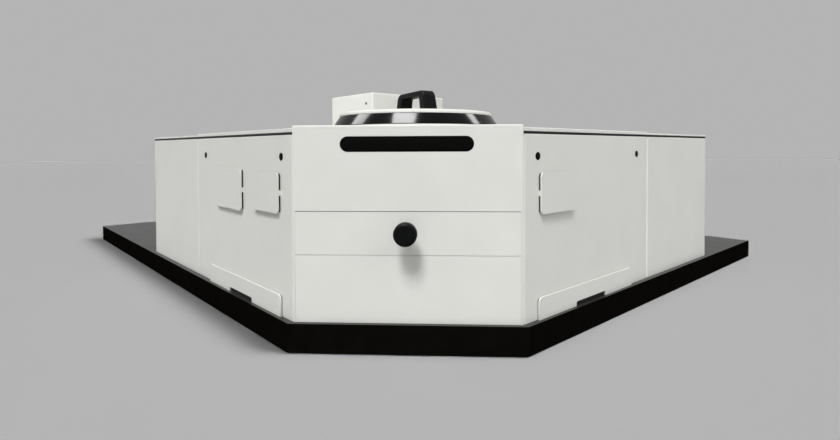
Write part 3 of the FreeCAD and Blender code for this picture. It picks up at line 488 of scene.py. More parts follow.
def mesh_of(shape, matrix=None, smooth_all=False, sharp_degrees=35.0):
    mesh = bpy.data.meshes.new("shape")
    if matrix is not None:
        shape.transform(matrix)
    if smooth_all:
        for face in shape.faces:
            face.smooth = True
    shape.to_mesh(mesh)
    shape.free()
    if smooth_all:
        mesh.set_sharp_from_angle(angle=math.radians(sharp_degrees))
    return mesh


def merged_copy(node):
    """A copy of a node's mesh with its doubled points merged and its flat faces joined."""
    shape = bmesh.new()
    shape.from_mesh(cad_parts[node].data)
    bmesh.ops.remove_doubles(shape, verts=shape.verts, dist=1e-6)
    bmesh.ops.dissolve_limit(shape, angle_limit=math.radians(0.5), verts=shape.verts, edges=shape.edges)
    for face in shape.faces:
        face.smooth = False
    return shape


def rounded_copy(node, width, segments=3, shortest=20.0, flat_area=0.002):
    """A copy of a sheet-metal node whose long sharp edges are rounded, and whose large faces stay flat."""
    shape = merged_copy(node)
    mark_curved(shape)
    edges = [edge for edge in shape.edges if len(edge.link_faces) == 2
             and math.degrees(edge.calc_face_angle(0.0)) > 60 and edge.calc_length() > shortest * MM]
    for face in bevel(shape, edges, width * MM, segments, clamped=True):
        face.smooth = True
    for face in shape.faces:
        if face.calc_area() > flat_area:
            face.smooth = False
    return mesh_of(shape)


# Geometry Nodes

def new_tree(name, **sockets):
    """A Geometry Nodes tree with one geometry in and out, and an input named for each size."""
    tree = bpy.data.node_groups.new(name, "GeometryNodeTree")
    tree.interface.new_socket("Geometry", in_out="INPUT", socket_type="NodeSocketGeometry")
    for label, kind in sockets.items():
        tree.interface.new_socket(label.replace("_", " "), in_out="INPUT", socket_type="NodeSocket" + kind)
    tree.interface.new_socket("Geometry", in_out="OUTPUT", socket_type="NodeSocketGeometry")
    return tree, tree.nodes.new("NodeGroupInput").outputs


def end_tree(tree, geometry, material):
    solid = add_node(tree, "GeometryNodeRealizeInstances", links={"Geometry": geometry})
    painted = add_node(tree, "GeometryNodeSetMaterial", {"Material": finish_named(material)},
                       {"Geometry": solid})
    add_node(tree, "NodeGroupOutput", links={"Geometry": painted})
    return tree


def face_away(tree, points, shape):
    """Puts a copy of a shape on each point, turned to the point's facing."""
    way = add_node(tree, "GeometryNodeInputNamedAttribute", {"data_type": "FLOAT_VECTOR", "Name": "facing"})
    turn = add_node(tree, "FunctionNodeAlignRotationToVector", {"axis": "Z"}, {"Vector": way})
    return add_node(tree, "GeometryNodeInstanceOnPoints",
                    links={"Points": points, "Instance": shape, "Rotation": turn})


def grow(tree, values, points=((0.0, 0.0, 0.0),), facing=(), matrix=None):
    """Runs a tree on loose points and returns the result as a plain mesh."""
    seed = bpy.data.meshes.new("seed")
    seed.from_pydata([tuple(point) for point in points], [], [])
    if facing:
        way = seed.attributes.new("facing", "FLOAT_VECTOR", "POINT")
        for number, vector in enumerate(facing):
            way.data[number].vector = vector
    holder = new_object("seed", seed)
    modifier = holder.modifiers.new("tree", "NODES")
    modifier.node_group = tree
    for item in tree.interface.items_tree:
        if item.item_type == "SOCKET" and item.in_out == "INPUT" and item.name in values:
            modifier[item.identifier] = values[item.name]
    graph = bpy.context.evaluated_depsgraph_get()
    mesh = bpy.data.meshes.new_from_object(holder.evaluated_get(graph))
    holder.modifiers.remove(modifier)
    bpy.data.objects.remove(holder)
    if matrix is not None:
        mesh.transform(matrix)
    return mesh


def screw_tree(material):
    """Button-head screws with a recess, one on each point, turned to face away from the surface."""
    tree, inputs = new_tree("screws", Head_Radius="Float", Head_Height="Float")
    height = inputs["Head Height"]
    disc = add_node(tree, "GeometryNodeMeshCylinder", {"Vertices": 20, "fill_type": "NGON"},
                    {"Radius": inputs["Head Radius"], "Depth": height})
    chamfer = add_node(tree, "GeometryNodeExtrudeMesh", {"mode": "FACES"},
                       {"Mesh": disc, "Selection": disc.outputs["Top"], "Offset Scale": height})
    shrink = add_node(tree, "GeometryNodeScaleElements", {"Scale": 0.8},
                      {"Geometry": chamfer, "Selection": chamfer.outputs["Top"]})
    rim = add_node(tree, "GeometryNodeExtrudeMesh", {"mode": "FACES", "Offset Scale": 0.0},
                   {"Mesh": shrink, "Selection": chamfer.outputs["Top"]})
    inset = add_node(tree, "GeometryNodeScaleElements", {"Scale": 0.6},
                     {"Geometry": rim, "Selection": rim.outputs["Top"]})
    deep = add_node(tree, "ShaderNodeMath", {"operation": "MULTIPLY", 1: -1.2}, {0: height})
    recess = add_node(tree, "GeometryNodeExtrudeMesh", {"mode": "FACES"},
                      {"Mesh": inset, "Selection": rim.outputs["Top"], "Offset Scale": deep})
    half = add_node(tree, "ShaderNodeMath", {"operation": "MULTIPLY", 1: 0.5}, {0: height})
    lift = add_node(tree, "ShaderNodeCombineXYZ", links={"Z": half})
    head = add_node(tree, "GeometryNodeTransform", links={"Geometry": recess, "Translation": lift})
    return end_tree(tree, face_away(tree, inputs["Geometry"], head), material)


def plug_tree(material):
    """Domed push-in plugs, one on each point, facing away from the wall."""
    tree, inputs = new_tree("plugs", Cap_Radius="Float", Dome="Float")
    size = add_node(tree, "ShaderNodeCombineXYZ",
                    links={"X": inputs["Cap Radius"], "Y": inputs["Cap Radius"], "Z": inputs["Dome"]})
    ball = add_node(tree, "GeometryNodeMeshUVSphere", {"Segments": 40, "Rings": 16, "Radius": 1.0})
    dome = add_node(tree, "GeometryNodeTransform", links={"Geometry": ball, "Scale": size})
    smooth = add_node(tree, "GeometryNodeSetShadeSmooth", links={"Geometry": dome})
    return end_tree(tree, face_away(tree, inputs["Geometry"], smooth), material)


def wheel_tree(material):
    """Glass discs on a circle, each with its own number for its tint."""
    tree, inputs = new_tree("filter_discs", Count="Int", Orbit="Float", Disc_Radius="Float",
                            Thickness="Float")
    circle = add_node(tree, "GeometryNodeMeshCircle",
                      links={"Vertices": inputs["Count"], "Radius": inputs["Orbit"]})
    disc = add_node(tree, "GeometryNodeMeshCylinder", {"Vertices": 32, "fill_type": "NGON"},
                    {"Radius": inputs["Disc Radius"], "Depth": inputs["Thickness"]})
    copies = add_node(tree, "GeometryNodeInstanceOnPoints", links={"Points": circle, "Instance": disc})
    number = add_node(tree, "GeometryNodeInputIndex")
    share = add_node(tree, "ShaderNodeMath", {"operation": "DIVIDE"}, {0: number, 1: inputs["Count"]})
    named = add_node(tree, "GeometryNodeStoreNamedAttribute", {"domain": "INSTANCE", "Name": "tint"},
                     {"Geometry": copies, "Value": share})
    return end_tree(tree, named, material)


def louvre_tree(material):
    """Tilted slats in a column, one behind each slot of a vent."""
    tree, inputs = new_tree("louvres", Count="Int", Pitch="Float", Size="Vector", Tilt="Float")
    step = add_node(tree, "ShaderNodeCombineXYZ", links={"Z": inputs["Pitch"]})
    column = add_node(tree, "GeometryNodeMeshLine", links={"Count": inputs["Count"], "Offset": step})
    slat = add_node(tree, "GeometryNodeMeshCube", links={"Size": inputs["Size"]})
    lean = add_node(tree, "ShaderNodeCombineXYZ", links={"X": inputs["Tilt"]})
    copies = add_node(tree, "GeometryNodeInstanceOnPoints",
                      links={"Points": column, "Instance": slat, "Rotation": lean})
    return end_tree(tree, copies, material)


def knurl_tree(material):
    """A thimble whose side is cut into fine flutes: every other point of its outline lies deeper."""
    tree, inputs = new_tree("knurled_thimble", Flutes="Int", Radius="Float", Length="Float", Depth="Float")
    corners = add_node(tree, "ShaderNodeMath", {"operation": "MULTIPLY", 1: 2.0}, {0: inputs["Flutes"]})
    body = add_node(tree, "GeometryNodeMeshCylinder", {"fill_type": "NGON"},
                    {"Vertices": corners, "Radius": inputs["Radius"], "Depth": inputs["Length"]})
    number = add_node(tree, "GeometryNodeInputIndex")
    odd = add_node(tree, "ShaderNodeMath", {"operation": "MODULO", 1: 2.0}, {0: number})
    cut = add_node(tree, "ShaderNodeMath", {"operation": "MULTIPLY"}, {0: odd, 1: inputs["Depth"]})
    keep = add_node(tree, "ShaderNodeMath", {"operation": "SUBTRACT", 0: 1.0}, {1: cut})
    scale = add_node(tree, "ShaderNodeCombineXYZ", {"Z": 1.0}, {"X": keep, "Y": keep})
    place = add_node(tree, "GeometryNodeInputPosition")
    moved = add_node(tree, "ShaderNodeVectorMath", {"operation": "MULTIPLY"}, {0: place, 1: scale})
    fluted = add_node(tree, "GeometryNodeSetPosition", links={"Geometry": body, "Position": moved})
    return end_tree(tree, fluted, material)


# What a user may change

class SpectrometerSizes(bpy.types.PropertyGroup):
    lid_base_radius: bpy.props.FloatProperty(
        name="Lid ring, foot", description="Radius of the black ring where it meets the chamber",
        default=183.0 * MM, unit="LENGTH")
    lid_top_radius: bpy.props.FloatProperty(
        name="Lid ring, top", description="Radius of the white disc and of the ring under it",
        default=169.5 * MM, unit="LENGTH")
    lid_edge: bpy.props.FloatProperty(
        name="Lid edge", description="Rounding of the white disc's upper edge", default=5.0 * MM,
        unit="LENGTH")
    handle_edge: bpy.props.FloatProperty(
        name="Handle edge", description="Rounding along the handle's edges", default=3.2 * MM, unit="LENGTH")
    plate_edge: bpy.props.FloatProperty(
        name="Plate edge", description="Rounding of the raised plates, in millimetres", default=0.3)
    front_edge: bpy.props.FloatProperty(
        name="Front edge", description="Rounding along the front's seams, in millimetres", default=0.6)
    plug_radius: bpy.props.FloatProperty(
        name="Plug", description="Radius of the plugs in the arms' walls", default=7.3 * MM, unit="LENGTH")


class SpectrometerColours(bpy.types.PropertyGroup):
    casing: bpy.props.FloatVectorProperty(
        name="Casing", description="Powder coat of all casings and covers", size=3, subtype="COLOR",
        default=linear("#E9E9E4"))
    base_edge: bpy.props.FloatVectorProperty(
        name="Base edge", description="Paint on the base plate's edges", size=3, subtype="COLOR",
        default=linear("#0D0C0A"))
    # The top's grey is the edges' black paint lightened: a painted reflection of the room at a low angle
    base_top_painted_sheen: bpy.props.FloatVectorProperty(
        name="Base top", description="Paint on the base plate's top", size=3, subtype="COLOR",
        default=linear("#292927"))
    lid_ring: bpy.props.FloatVectorProperty(
        name="Lid ring", description="Polished ring under the lid", size=3, subtype="COLOR",
        default=linear("#040405"))
    handle: bpy.props.FloatVectorProperty(
        name="Handle", description="Handle and knob", size=3, subtype="COLOR", default=linear("#08090A"))
    window: bpy.props.FloatVectorProperty(
        name="Window", description="Smoked window on the front", size=3, subtype="COLOR",
        default=linear("#060605"))
    rubber: bpy.props.FloatVectorProperty(
        name="Rubber", description="Gaskets and pads", size=3, subtype="COLOR", default=linear("#121212"))
    optics: bpy.props.FloatVectorProperty(
        name="Optics", description="Anodised parts inside", size=3, subtype="COLOR",
        default=linear("#1B1C1E"))
    deck: bpy.props.FloatVectorProperty(
        name="Deck", description="Machined plates inside", size=3, subtype="COLOR", default=linear("#B9BCBF"))
    room: bpy.props.FloatVectorProperty(
        name="Room", description="Light of the room and colour of the backdrop", size=3, subtype="COLOR",
        default=linear("#B4B4B4"))


def sizes():
    return bpy.context.scene.spectrometer_sizes


def colours():
    return bpy.context.scene.spectrometer_colours


NODE_FINISHES = {
    "powder_coat_warm_white": ["chamber_body", "chamber_top", "front_surround", "front_lower_panel",
                               "front_flap", "lid_disc", "rear_housing", "rear_cover", "left_rear_port_plate"]
    + [side + part for side in SIDES
       for part in ("_main_casing", "_end_casing", "_main_lid", "_end_lid", "_front_port_plate",
                    "_access_panel")],
    "black_flat_paint": ["base_shell"],
    "galvanised_sheet": ["base_core"],
    "epdm_rubber": ["base_pads", "lid_gaskets"],
    "ground_stainless_steel": ["flap_hinge_pins", "left_slit_jaw", "right_slit_jaw"],
    "satin_black_anodised": ["pull_knob", "lid_handle"],
    "gloss_black_acrylic": ["lid_ring"],
    "smoked_acrylic_matt": ["smoked_window"],
    "black_anodised_aluminium": ["sample_stage", "sample_turret", "lens_tubes", "mirror_mounts",
                                 "grating_drives", "slit_blocks", "lamp_housing", "detector_housing"]
    + [side + part for side in SIDES for part in ("_filter_wheel", "_shutter_blade")],
    "clear_anodised_aluminium": ["optical_decks", "left_grating_turret", "right_grating_turret"],
    "silvered_mirror": ["mirrors"],
    "ruled_grating": ["gratings_left", "gratings_right"],
    "fused_quartz": ["cuvettes"],
    "coated_lens_glass": ["sample_lenses"],
    "lamp_envelope": ["arc_lamp", "detector_tube"],
    "black_abs": ["filter_drives", "shutter_solenoids", "fan_rotor", "cable_gland", "power_rocker"],
    "black_polypropylene": ["hole_plugs"],
}


# Operators

class SpectrometerStage(bpy.types.Operator):
    """Sets up the paper floor, the soft lights, the room and the camera"""

    bl_idname = "spectrometer.stage"
    bl_label = "Stage, lights and camera"

    def execute(self, context):
        context.scene.view_settings.view_transform = "Standard"
        room = colours().room
        world = bpy.data.worlds.new("room")
        context.scene.world = world
        world.use_nodes = True
        background = world.node_tree.nodes["Background"]
        background.inputs["Color"].default_value = rgba(room)
        background.inputs["Strength"].default_value = 0.5
        self.add_backdrop(room)
        self.add_lights(self.add_floor())
        self.add_camera(context.scene)
        return {"FINISHED"}

    def add_floor(self):
        shape = bmesh.new()
        half = FLOOR_HALF
        shape.faces.new([shape.verts.new((x, y, 0.0))
                         for x, y in ((-half, -half), (half, -half), (half, half), (-half, half))])
        return self.add_set_piece("floor", mesh_of(shape), finish_named("pale_paper"))

    def add_backdrop(self, colour):
        """A lit tent around all: an even ground in every view, and what glossy faces mirror."""
        shape = bmesh.new()
        bmesh.ops.create_uvsphere(shape, u_segments=64, v_segments=32, radius=TENT_RADIUS)
        bmesh.ops.reverse_faces(shape, faces=shape.faces)
        material = bpy.data.materials.new("lit_backdrop")
        material.use_nodes = True
        tree = material.node_tree
        tree.nodes.remove(tree.nodes["Principled BSDF"])
        glow = add_node(tree, "ShaderNodeEmission", {"Color": rgba(colour), "Strength": 1.0})
        tree.links.new(glow.outputs["Emission"], tree.nodes["Material Output"].inputs["Surface"])
        backdrop = self.add_set_piece("backdrop", mesh_of(shape), material)
        backdrop.visible_diffuse = False
        backdrop.visible_shadow = False

    def add_set_piece(self, name, mesh, material):
        mesh.materials.append(material)
        piece = new_object(name, mesh)
        return piece

    def add_lights(self, floor):
        self.add_sun("key", way=(-0.14, -0.54, 0.83), power=2.65, angle=17.0)
        fill = self.add_panel("fill", start=(0.0, -0.27, 0.2), way=(0.62, -0.5, 0.6),
                              width_way=(1.0, 1.24, 0.0), size=(2.4, 2.0), power=25.0)
        fill.visible_glossy = False
        self.light_only(fill, [floor], "EXCLUDE")
        # A low light for the floor alone, which only the base plate stops: the shadow beside the plate
        side = self.add_sun("side", way=(0.9, -0.12, 0.62), power=8.5, angle=34.0)
        self.light_only(side, [floor], "INCLUDE")
        side.light_linking.blocker_collection = bpy.data.collections.new("side_blockers")
        # A frontal light for the supply housing alone, which stands behind the lid
        rear = self.add_sun("rear", way=(-0.253, -0.935, 0.248), power=0.68, angle=25.0)
        self.light_only(rear, [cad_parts["rear_housing"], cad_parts["rear_cover"]], "INCLUDE")
        # Panels that only glossy faces mirror, each aimed at the spot where the lid's ring shows it
        for panel in (
                self.add_panel("front_panel", start=(-0.012, -0.176, 0.415), way=(-0.169, -0.313, 0.934),
                               width_way=(0.972, -0.208, 0.106), size=(1.37, 1.0), power=150.0),
                self.add_panel("left_panel", start=(-0.101, -0.144, 0.415), way=(-0.704, 0.218, 0.676),
                               width_way=(0.159, -0.879, 0.45), size=(1.0, 0.9), power=36.0),
                self.add_panel("right_panel", start=(0.122, -0.127, 0.415), way=(0.678, 0.347, 0.648),
                               width_way=(-0.013, 0.887, -0.462), size=(0.55, 0.9), power=20.0)):
            panel.visible_diffuse = False

    def add_sun(self, name, way, power, angle):
        """A sun seen in a direction, its angle in degrees, which glossy faces don't mirror."""
        sun = bpy.data.lights.new(name, "SUN")
        sun.energy = power
        sun.angle = math.radians(angle)
        lamp = new_object(name, sun)
        lamp.rotation_euler = Vector(way).to_track_quat("Z", "Y").to_euler()
        lamp.visible_glossy = False
        return lamp

    def add_panel(self, name, start, way, width_way, size, power):
        """A light panel that stands off a spot in a direction and faces it."""
        panel = bpy.data.lights.new(name, "AREA")
        panel.shape = "RECTANGLE"
        panel.size, panel.size_y = size
        panel.energy = power
        lamp = new_object(name, panel)
        back = Vector(way).normalized()
        across = Vector(width_way)
        across = (across - back * across.dot(back)).normalized()
        lamp.matrix_world = placed(Vector(start) + back * LAMP_DISTANCE, across, back.cross(across), back)
        lamp.visible_camera = False
        return lamp

    def light_only(self, lamp, objects, state):
        """Lets a lamp light these objects alone, or all but these."""
        group = bpy.data.collections.new(lamp.name + "_receivers")
        for item in objects:
            group.objects.link(item)
        for entry in group.collection_objects:
            entry.light_linking.link_state = state
        lamp.light_linking.receiver_collection = group

    def add_camera(self, scene):
        yaw, pitch, roll = (math.radians(value) for value in YAW_PITCH_ROLL)
        ahead = Vector((math.sin(yaw) * math.cos(pitch), math.cos(yaw) * math.cos(pitch), -math.sin(pitch)))
        level = Vector((math.cos(yaw), -math.sin(yaw), 0.0))
        down = ahead.cross(level)
        right = level * math.cos(roll) + down * math.sin(roll)
        up = level * math.sin(roll) - down * math.cos(roll)
        lens = bpy.data.cameras.new("camera")
        lens.sensor_width = FILM_WIDTH
        lens.lens = FOCAL_LENGTH / PICTURE_WIDTH * FILM_WIDTH
        lens.shift_y = (LENS_MIDDLE - PICTURE_MIDDLE) / PICTURE_WIDTH
        lens.clip_end = 60.0
        camera = new_object("camera", lens)
        camera.matrix_world = placed(Vector(EYE) * MM, right, up, -ahead)
        scene.camera = camera


class SpectrometerFinishes(bpy.types.Operator):
    """Gives every node of the frame its finish"""

    bl_idname = "spectrometer.finishes"
    bl_label = "Finishes of the frame"

    def execute(self, context):
        covered = set()
        for finish, nodes in NODE_FINISHES.items():
            for node in nodes:
                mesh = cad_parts[node].data
                mesh.materials.clear()
                mesh.materials.append(finish_named(finish))
                covered.add(node)
        missing = set(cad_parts) - covered
        if missing:
            raise RuntimeError(f"nodes without a finish: {sorted(missing)}")
        return {"FINISHED"}


class SpectrometerCasings(bpy.types.Operator):
    """Rounds the edges of the front's panels and of the raised plates, and puts gaskets behind the plates,
    whose black paints shade into the gaps
    """

    bl_idname = "spectrometer.casings"
    bl_label = "Casings and plates"

    def execute(self, context):
        plates = [side + part for side in SIDES for part in ("_front_port_plate", "_access_panel")]
        plate_edge, front_edge = sizes().plate_edge, sizes().front_edge
        edges = dict.fromkeys(plates + ["left_rear_port_plate"], plate_edge)
        edges.update(front_surround=front_edge, front_lower_panel=plate_edge, front_flap=front_edge)
        for node, edge in edges.items():
            make_piece(node + "_face", rounded_copy(node, edge), "powder_coat_warm_white",
                       "front_door" if node == "front_flap" else "frame", (node,))
        self.add_gaskets_and_gap_shade()
        return {"FINISHED"}

    def add_gaskets_and_gap_shade(self):
        """Puts a rubber sheet behind each raised plate, a little smaller: a gasket whose black is also
        painted shade, darkening the gap around the plate.
        """
        inset, wall_gap, plate_gap = 1.6, 0.1, 0.05
        corner = 5.0 * MM
        sheets = bmesh.new()
        for side, start, end, bottom, top, land in RAISED_PLATES:
            near, far = (start + inset) * MM, (end - inset) * MM
            low, high = (bottom + inset) * MM, (top - inset) * MM
            outline = [(near, low, corner), (far, low, corner), (far, high, corner), (near, high, corner)]
            place = placed(arm_place(side, 0.0, 0.0, 0.0), arm_way(side, 1.0, 0.0),
                           arm_way(side, 0.0, 1.0), UP)
            sheet = slab(rounded(outline, steps=4), (wall_gap - land) * MM, -plate_gap * MM)
            sheets.from_mesh(mesh_of(sheet, place))
        bmesh.ops.recalc_face_normals(sheets, faces=sheets.faces)
        make_piece("plate_gaskets_and_gap_shade", mesh_of(sheets), "epdm_rubber", "frame")


class SpectrometerBase(bpy.types.Operator):
    """Paints the base plate, flat black on its edges and satin on its top, whose colour is lightened to grey
    as a painted reflection
    """

    bl_idname = "spectrometer.base"
    bl_label = "Base plate"

    def execute(self, context):
        shape = merged_copy("base_shell")
        for face in shape.faces:
            # Upward faces take the satin finish, whose lighter grey is a painted reflection
            face.material_index = 1 if face.normal.z > 0.9 else 0
        mesh = mesh_of(shape)
        mesh.materials.append(finish_named("black_flat_paint"))
        mesh.materials.append(finish_named("black_satin_paint_with_painted_sheen"))
        plate = make_piece("base_painted_plate", mesh, None, "frame", ("base_shell",))
        bpy.data.collections["side_blockers"].objects.link(plate)
        return {"FINISHED"}


class SpectrometerSampleLid(bpy.types.Operator):
    """Turns the round lid's ring and disc and shapes its bridge handle"""

    bl_idname = "spectrometer.sample_lid"
    bl_label = "Sample lid"

    def execute(self, context):
        ring_low, ring_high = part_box("lid_ring")
        disc_low, disc_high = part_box("lid_disc")
        base, top = sizes().lid_base_radius, sizes().lid_top_radius
        seat = ring_low[2] + 13.3 * MM
        bore = 150.0 * MM
        spigot = 158.8 * MM
        outline = [(bore, ring_low[2], 0.6 * MM), (spigot, ring_low[2], 0.6 * MM), (spigot, seat, 0),
                   (base, seat, 0.4 * MM), (base, seat + 1.0 * MM, 0.4 * MM), (top, ring_high[2], 0.8 * MM),
                   (bore, ring_high[2], 0.6 * MM)]
        mesh = mesh_of(lathe(rounded(outline, steps=4), steps=192, closed=True), smooth_all=True)
        make_piece("lid_bevelled_ring", mesh, "gloss_black_acrylic", "sample_lid",
                   ("lid_ring",))

        plug = bore - 0.3 * MM
        outline = [(0, disc_low[2], 0), (plug, disc_low[2], 1.5 * MM), (plug, ring_high[2], 0),
                   (top, ring_high[2], 1.2 * MM), (top, disc_high[2], sizes().lid_edge),
                   (0, disc_high[2], 0)]
        profile = rounded(outline, steps=6, closed=False)
        mesh = mesh_of(lathe(profile, steps=192, closed=False), smooth_all=True)
        make_piece("lid_turned_disc", mesh, "powder_coat_warm_white", "sample_lid",
                   ("lid_disc",))
        self.add_handle(disc_high[2])
        return {"FINISHED"}

    def add_handle(self, foot_height):
        low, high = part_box("lid_handle")
        height = high[2] - low[2]
        foot, top, gap_foot, gap_top = (value * MM for value in (77.0, 63.0, 49.0, 42.8))
        gap = height - 11.5 * MM
        corner, inner_corner = 19 * MM, 7 * MM
        half_depth = 15.0 * MM
        outline = rounded([(-foot, 0, 0), (-top, height, corner), (top, height, corner), (foot, 0, 0),
                           (gap_foot, 0, 0), (gap_top, gap, inner_corner), (-gap_top, gap, inner_corner),
                           (-gap_foot, 0, 0)], steps=8)
        shape = slab(outline, -half_depth, half_depth)
        rims = [edge for edge in shape.edges if abs(edge.verts[0].co.y - edge.verts[1].co.y) < 1e-6
                and max(v.co.z for v in edge.verts) > 1e-5]
        bevel(shape, rims, sizes().handle_edge, segments=4)
        place = Matrix.Translation((0, 0, foot_height)) @ Matrix.Rotation(math.radians(-60), 4, "Z")
        mesh = mesh_of(shape, place, smooth_all=True, sharp_degrees=40.0)
        make_piece("lid_bridge_handle", mesh, "satin_black_anodised", "sample_lid",
                   ("lid_handle",))


class SpectrometerFront(bpy.types.Operator):
    """Makes the smoked window, the flap's pull knob and the seal behind the flap, whose black is painted
    shade in the seam
    """

    bl_idname = "spectrometer.front"
    bl_label = "Window, knob and seal"

    def execute(self, context):
        self.add_window()
        self.add_seal_and_seam_shade()
        self.add_knob()
        return {"FINISHED"}

    def add_window(self):
        low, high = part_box("smoked_window")
        middle = (low[2] + high[2]) / 2
        front = low[1]
        radius = 13.5 * MM
        half_run = 116.3 * MM - radius
        outline = [(half_run + radius * math.cos(angle), middle + radius * math.sin(angle))
                   for angle in (math.pi * step / 24 - math.pi / 2 for step in range(25))]
        outline += [(-x, 2 * middle - z) for x, z in outline]
        shape = slab(outline, front, high[1])
        rims = [edge for edge in shape.edges if all(abs(v.co.y - front) < 1e-6 for v in edge.verts)]
        bevel(shape, rims, width=0.8 * MM, segments=3)
        make_piece("window_pane", mesh_of(shape, smooth_all=True), "smoked_acrylic_matt", "frame",
                   ("smoked_window",))

    def add_seal_and_seam_shade(self):
        """A light seal stuck to the chamber behind the flap's upper edge, whose black is also painted shade
        that darkens the seam.
        """
        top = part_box("front_flap")[1][2]
        body_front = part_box("chamber_body")[0][1]
        half, low, high, corner = 196.0 * MM, top - 3.0 * MM, top + 1.1 * MM, 0.5 * MM
        thickness = 0.24 * MM
        outline = rounded([(-half, low, corner), (half, low, corner), (half, high, corner),
                           (-half, high, corner)], steps=3)
        make_piece("flap_seal_and_seam_shade", mesh_of(slab(outline, body_front - thickness, body_front)),
                   "epdm_rubber", "frame")

    def add_knob(self):
        low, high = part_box("pull_knob")
        centre = ((low[0] + high[0]) / 2, high[1], (low[2] + high[2]) / 2)
        # Radius, distance from the flap and rounding, from the foot over the neck to the dished head
        outline = [(0, 0, 0), (11, 0, 0.3), (11, 1.6, 0.8), (7.5, 1.6, 0.4), (7.5, 22, 3.0),
                   (12, 24.4, 0), (19, 25.2, 1.5), (20, 28, 1.5), (20, 42, 4.0), (15.5, 45, 2.0),
                   (12, 44.4, 4.0), (0, 44.0, 0)]
        outline = [(radius * MM, length * MM, edge * MM) for radius, length, edge in outline]
        place = Matrix.Translation(centre) @ Matrix.Rotation(math.radians(90), 4, "X")
        profile = rounded(outline, closed=False)
        mesh = mesh_of(lathe(profile, steps=96, closed=False), place, smooth_all=True)
        make_piece("flap_turned_knob", mesh, "satin_black_anodised", "front_door",
                   ("pull_knob",))


class SpectrometerPlugs(bpy.types.Operator):
    """Sets the domed plugs into the holes of the arms and the supply housing"""

    bl_idname = "spectrometer.plugs"
    bl_label = "Hole plugs"

    def execute(self, context):
        tree = plug_tree("black_polypropylene")
        points = [arm_place(side, along, 0.0, PLUG_HEIGHT) for side in SIDES for along in PLUG_PLACES]
        facing = [arm_way(side, 0.0, -1.0) for side in SIDES for _ in PLUG_PLACES]
        shape = bmesh.new()
        values = {"Cap Radius": sizes().plug_radius, "Dome": 1.45 * MM}
        shape.from_mesh(grow(tree, values, points, facing))
        values = {"Cap Radius": 3.9 * MM, "Dome": 1.4 * MM}
        shape.from_mesh(grow(tree, values, [rear_place(0.0, 32.0, 437.0)], [rear_way(-1.0, 0.0)]))
        make_piece("wall_plugs", mesh_of(shape), "black_polypropylene", "frame",
                   ("hole_plugs",))
        return {"FINISHED"}


class SpectrometerFasteners(bpy.types.Operator):
    """Puts the screws on the arms' end walls, the supply housing and the optical decks"""

    bl_idname = "spectrometer.fasteners"
    bl_label = "Screws"

    def execute(self, context):
        tree = screw_tree("zinc_plated_steel")
        wall, deck = [], []
        for side in SIDES:
            wall += [(arm_place(side, ARM_LENGTH, inward, height), arm_way(side, 1.0, 0.0))
                     for inward in (18.0, 140.0, 260.0, 382.0) for height in (18.0, 311.0)]
            deck += [(arm_place(side, along, inward, DECK_HEIGHT), UP)
                     for along in (437.0, 788.0) for inward in (62.0, 338.0)]
        wall += [(rear_place(REAR_WIDTH, deep, height), rear_way(1.0, 0.0))
                 for deep in (14.0, REAR_DEPTH - 14.0) for height in (20.0, 160.0, 300.0, 446.0)]
        for name, screws, radius, height in (("wall_screws", wall, 4.0, 1.1),
                                             ("deck_screws", deck, 5.0, 1.6)):
            points, facing = zip(*screws)
            mesh = grow(tree, {"Head Radius": radius * MM, "Head Height": height * MM}, points, facing)
            make_piece(name, mesh, "zinc_plated_steel", "frame")
        return {"FINISHED"}


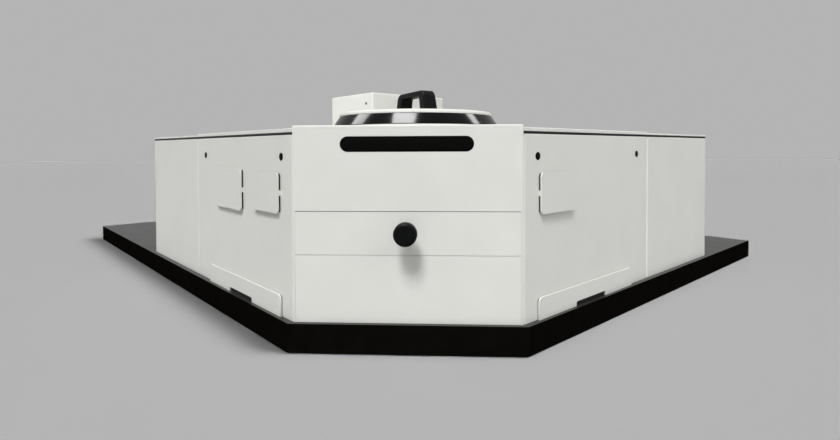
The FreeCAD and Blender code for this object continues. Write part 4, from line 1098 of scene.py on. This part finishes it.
class SpectrometerInside(bpy.types.Operator):
    """Adds the filter glasses, the vents' louvres and the slits' thimbles"""

    bl_idname = "spectrometer.inside"
    bl_label = "Filters, louvres and thimbles"

    def execute(self, context):
        discs = wheel_tree("coloured_filter_glass")
        slats = louvre_tree("black_anodised_aluminium")
        knurls = knurl_tree("ground_stainless_steel")
        orbit = 27.0
        for side in SIDES:
            along, inward = arm_way(side, 1.0, 0.0), arm_way(side, 0.0, 1.0)
            # The wheel's first hole stands towards the beam, which is where the circle's first point goes
            place = placed(arm_place(side, WHEEL_PLACE, BEAM_OFFSET - orbit, BEAM_HEIGHT), inward,
                           along.cross(inward), along)
            values = {"Count": 5, "Orbit": orbit * MM, "Disc Radius": 8.7 * MM, "Thickness": 3.0 * MM}
            make_piece(side + "_filter_glasses", grow(discs, values, matrix=place),
                       "coloured_filter_glass", side + "_filters")
            place = placed(arm_place(side, ARM_LENGTH - LOUVRE_GAP, ARM_DEPTH / 2, LOUVRE_START),
                           along.cross(UP), along, UP)
            values = {"Count": 9, "Pitch": 15.0 * MM, "Size": (0.166, 0.0012, 0.014), "Tilt": 0.7}
            make_piece(side + "_vent_louvres", grow(slats, values, matrix=place),
                       "black_anodised_aluminium", "frame")
        shape = bmesh.new()
        values = {"Flutes": 30, "Radius": 6.5 * MM, "Length": 12.0 * MM, "Depth": 0.06}
        for side in SIDES:
            for inward in (BEAM_OFFSET, RETURN_OFFSET):
                place = Matrix.Translation(arm_place(side, SLIT_PLACE, inward, THIMBLE_HEIGHT))
                shape.from_mesh(grow(knurls, values, matrix=place))
        make_piece("slit_thimbles", mesh_of(shape), "ground_stainless_steel", "frame")
        return {"FINISHED"}


class SpectrometerPanel(bpy.types.Panel):
    bl_idname = "VIEW3D_PT_spectrometer"
    bl_label = "Spectrometer"
    bl_space_type = "VIEW_3D"
    bl_region_type = "UI"
    bl_category = "Spectrometer"

    def draw(self, context):
        for group in (sizes(), colours()):
            for name in group.bl_rna.properties.keys():
                if name not in ("rna_type", "name"):
                    self.layout.prop(group, name)
        for operator in OPERATORS:
            self.layout.operator(operator.bl_idname)


OPERATORS = (SpectrometerStage, SpectrometerFinishes, SpectrometerCasings, SpectrometerBase,
             SpectrometerSampleLid, SpectrometerFront, SpectrometerPlugs, SpectrometerFasteners,
             SpectrometerInside)
CLASSES = (SpectrometerSizes, SpectrometerColours) + OPERATORS + (SpectrometerPanel,)


def register():
    for cls in CLASSES:
        bpy.utils.register_class(cls)
    bpy.types.Scene.spectrometer_sizes = bpy.props.PointerProperty(type=SpectrometerSizes)
    bpy.types.Scene.spectrometer_colours = bpy.props.PointerProperty(type=SpectrometerColours)


def unregister():
    del bpy.types.Scene.spectrometer_colours
    del bpy.types.Scene.spectrometer_sizes
    for cls in reversed(CLASSES):
        bpy.utils.unregister_class(cls)


def main():
    register()
    bpy.ops.spectrometer.stage()
    bpy.ops.spectrometer.finishes()
    bpy.ops.spectrometer.casings()
    bpy.ops.spectrometer.base()
    bpy.ops.spectrometer.sample_lid()
    bpy.ops.spectrometer.front()
    bpy.ops.spectrometer.plugs()
    bpy.ops.spectrometer.fasteners()
    bpy.ops.spectrometer.inside()


if __name__ == "__main__":
    main()
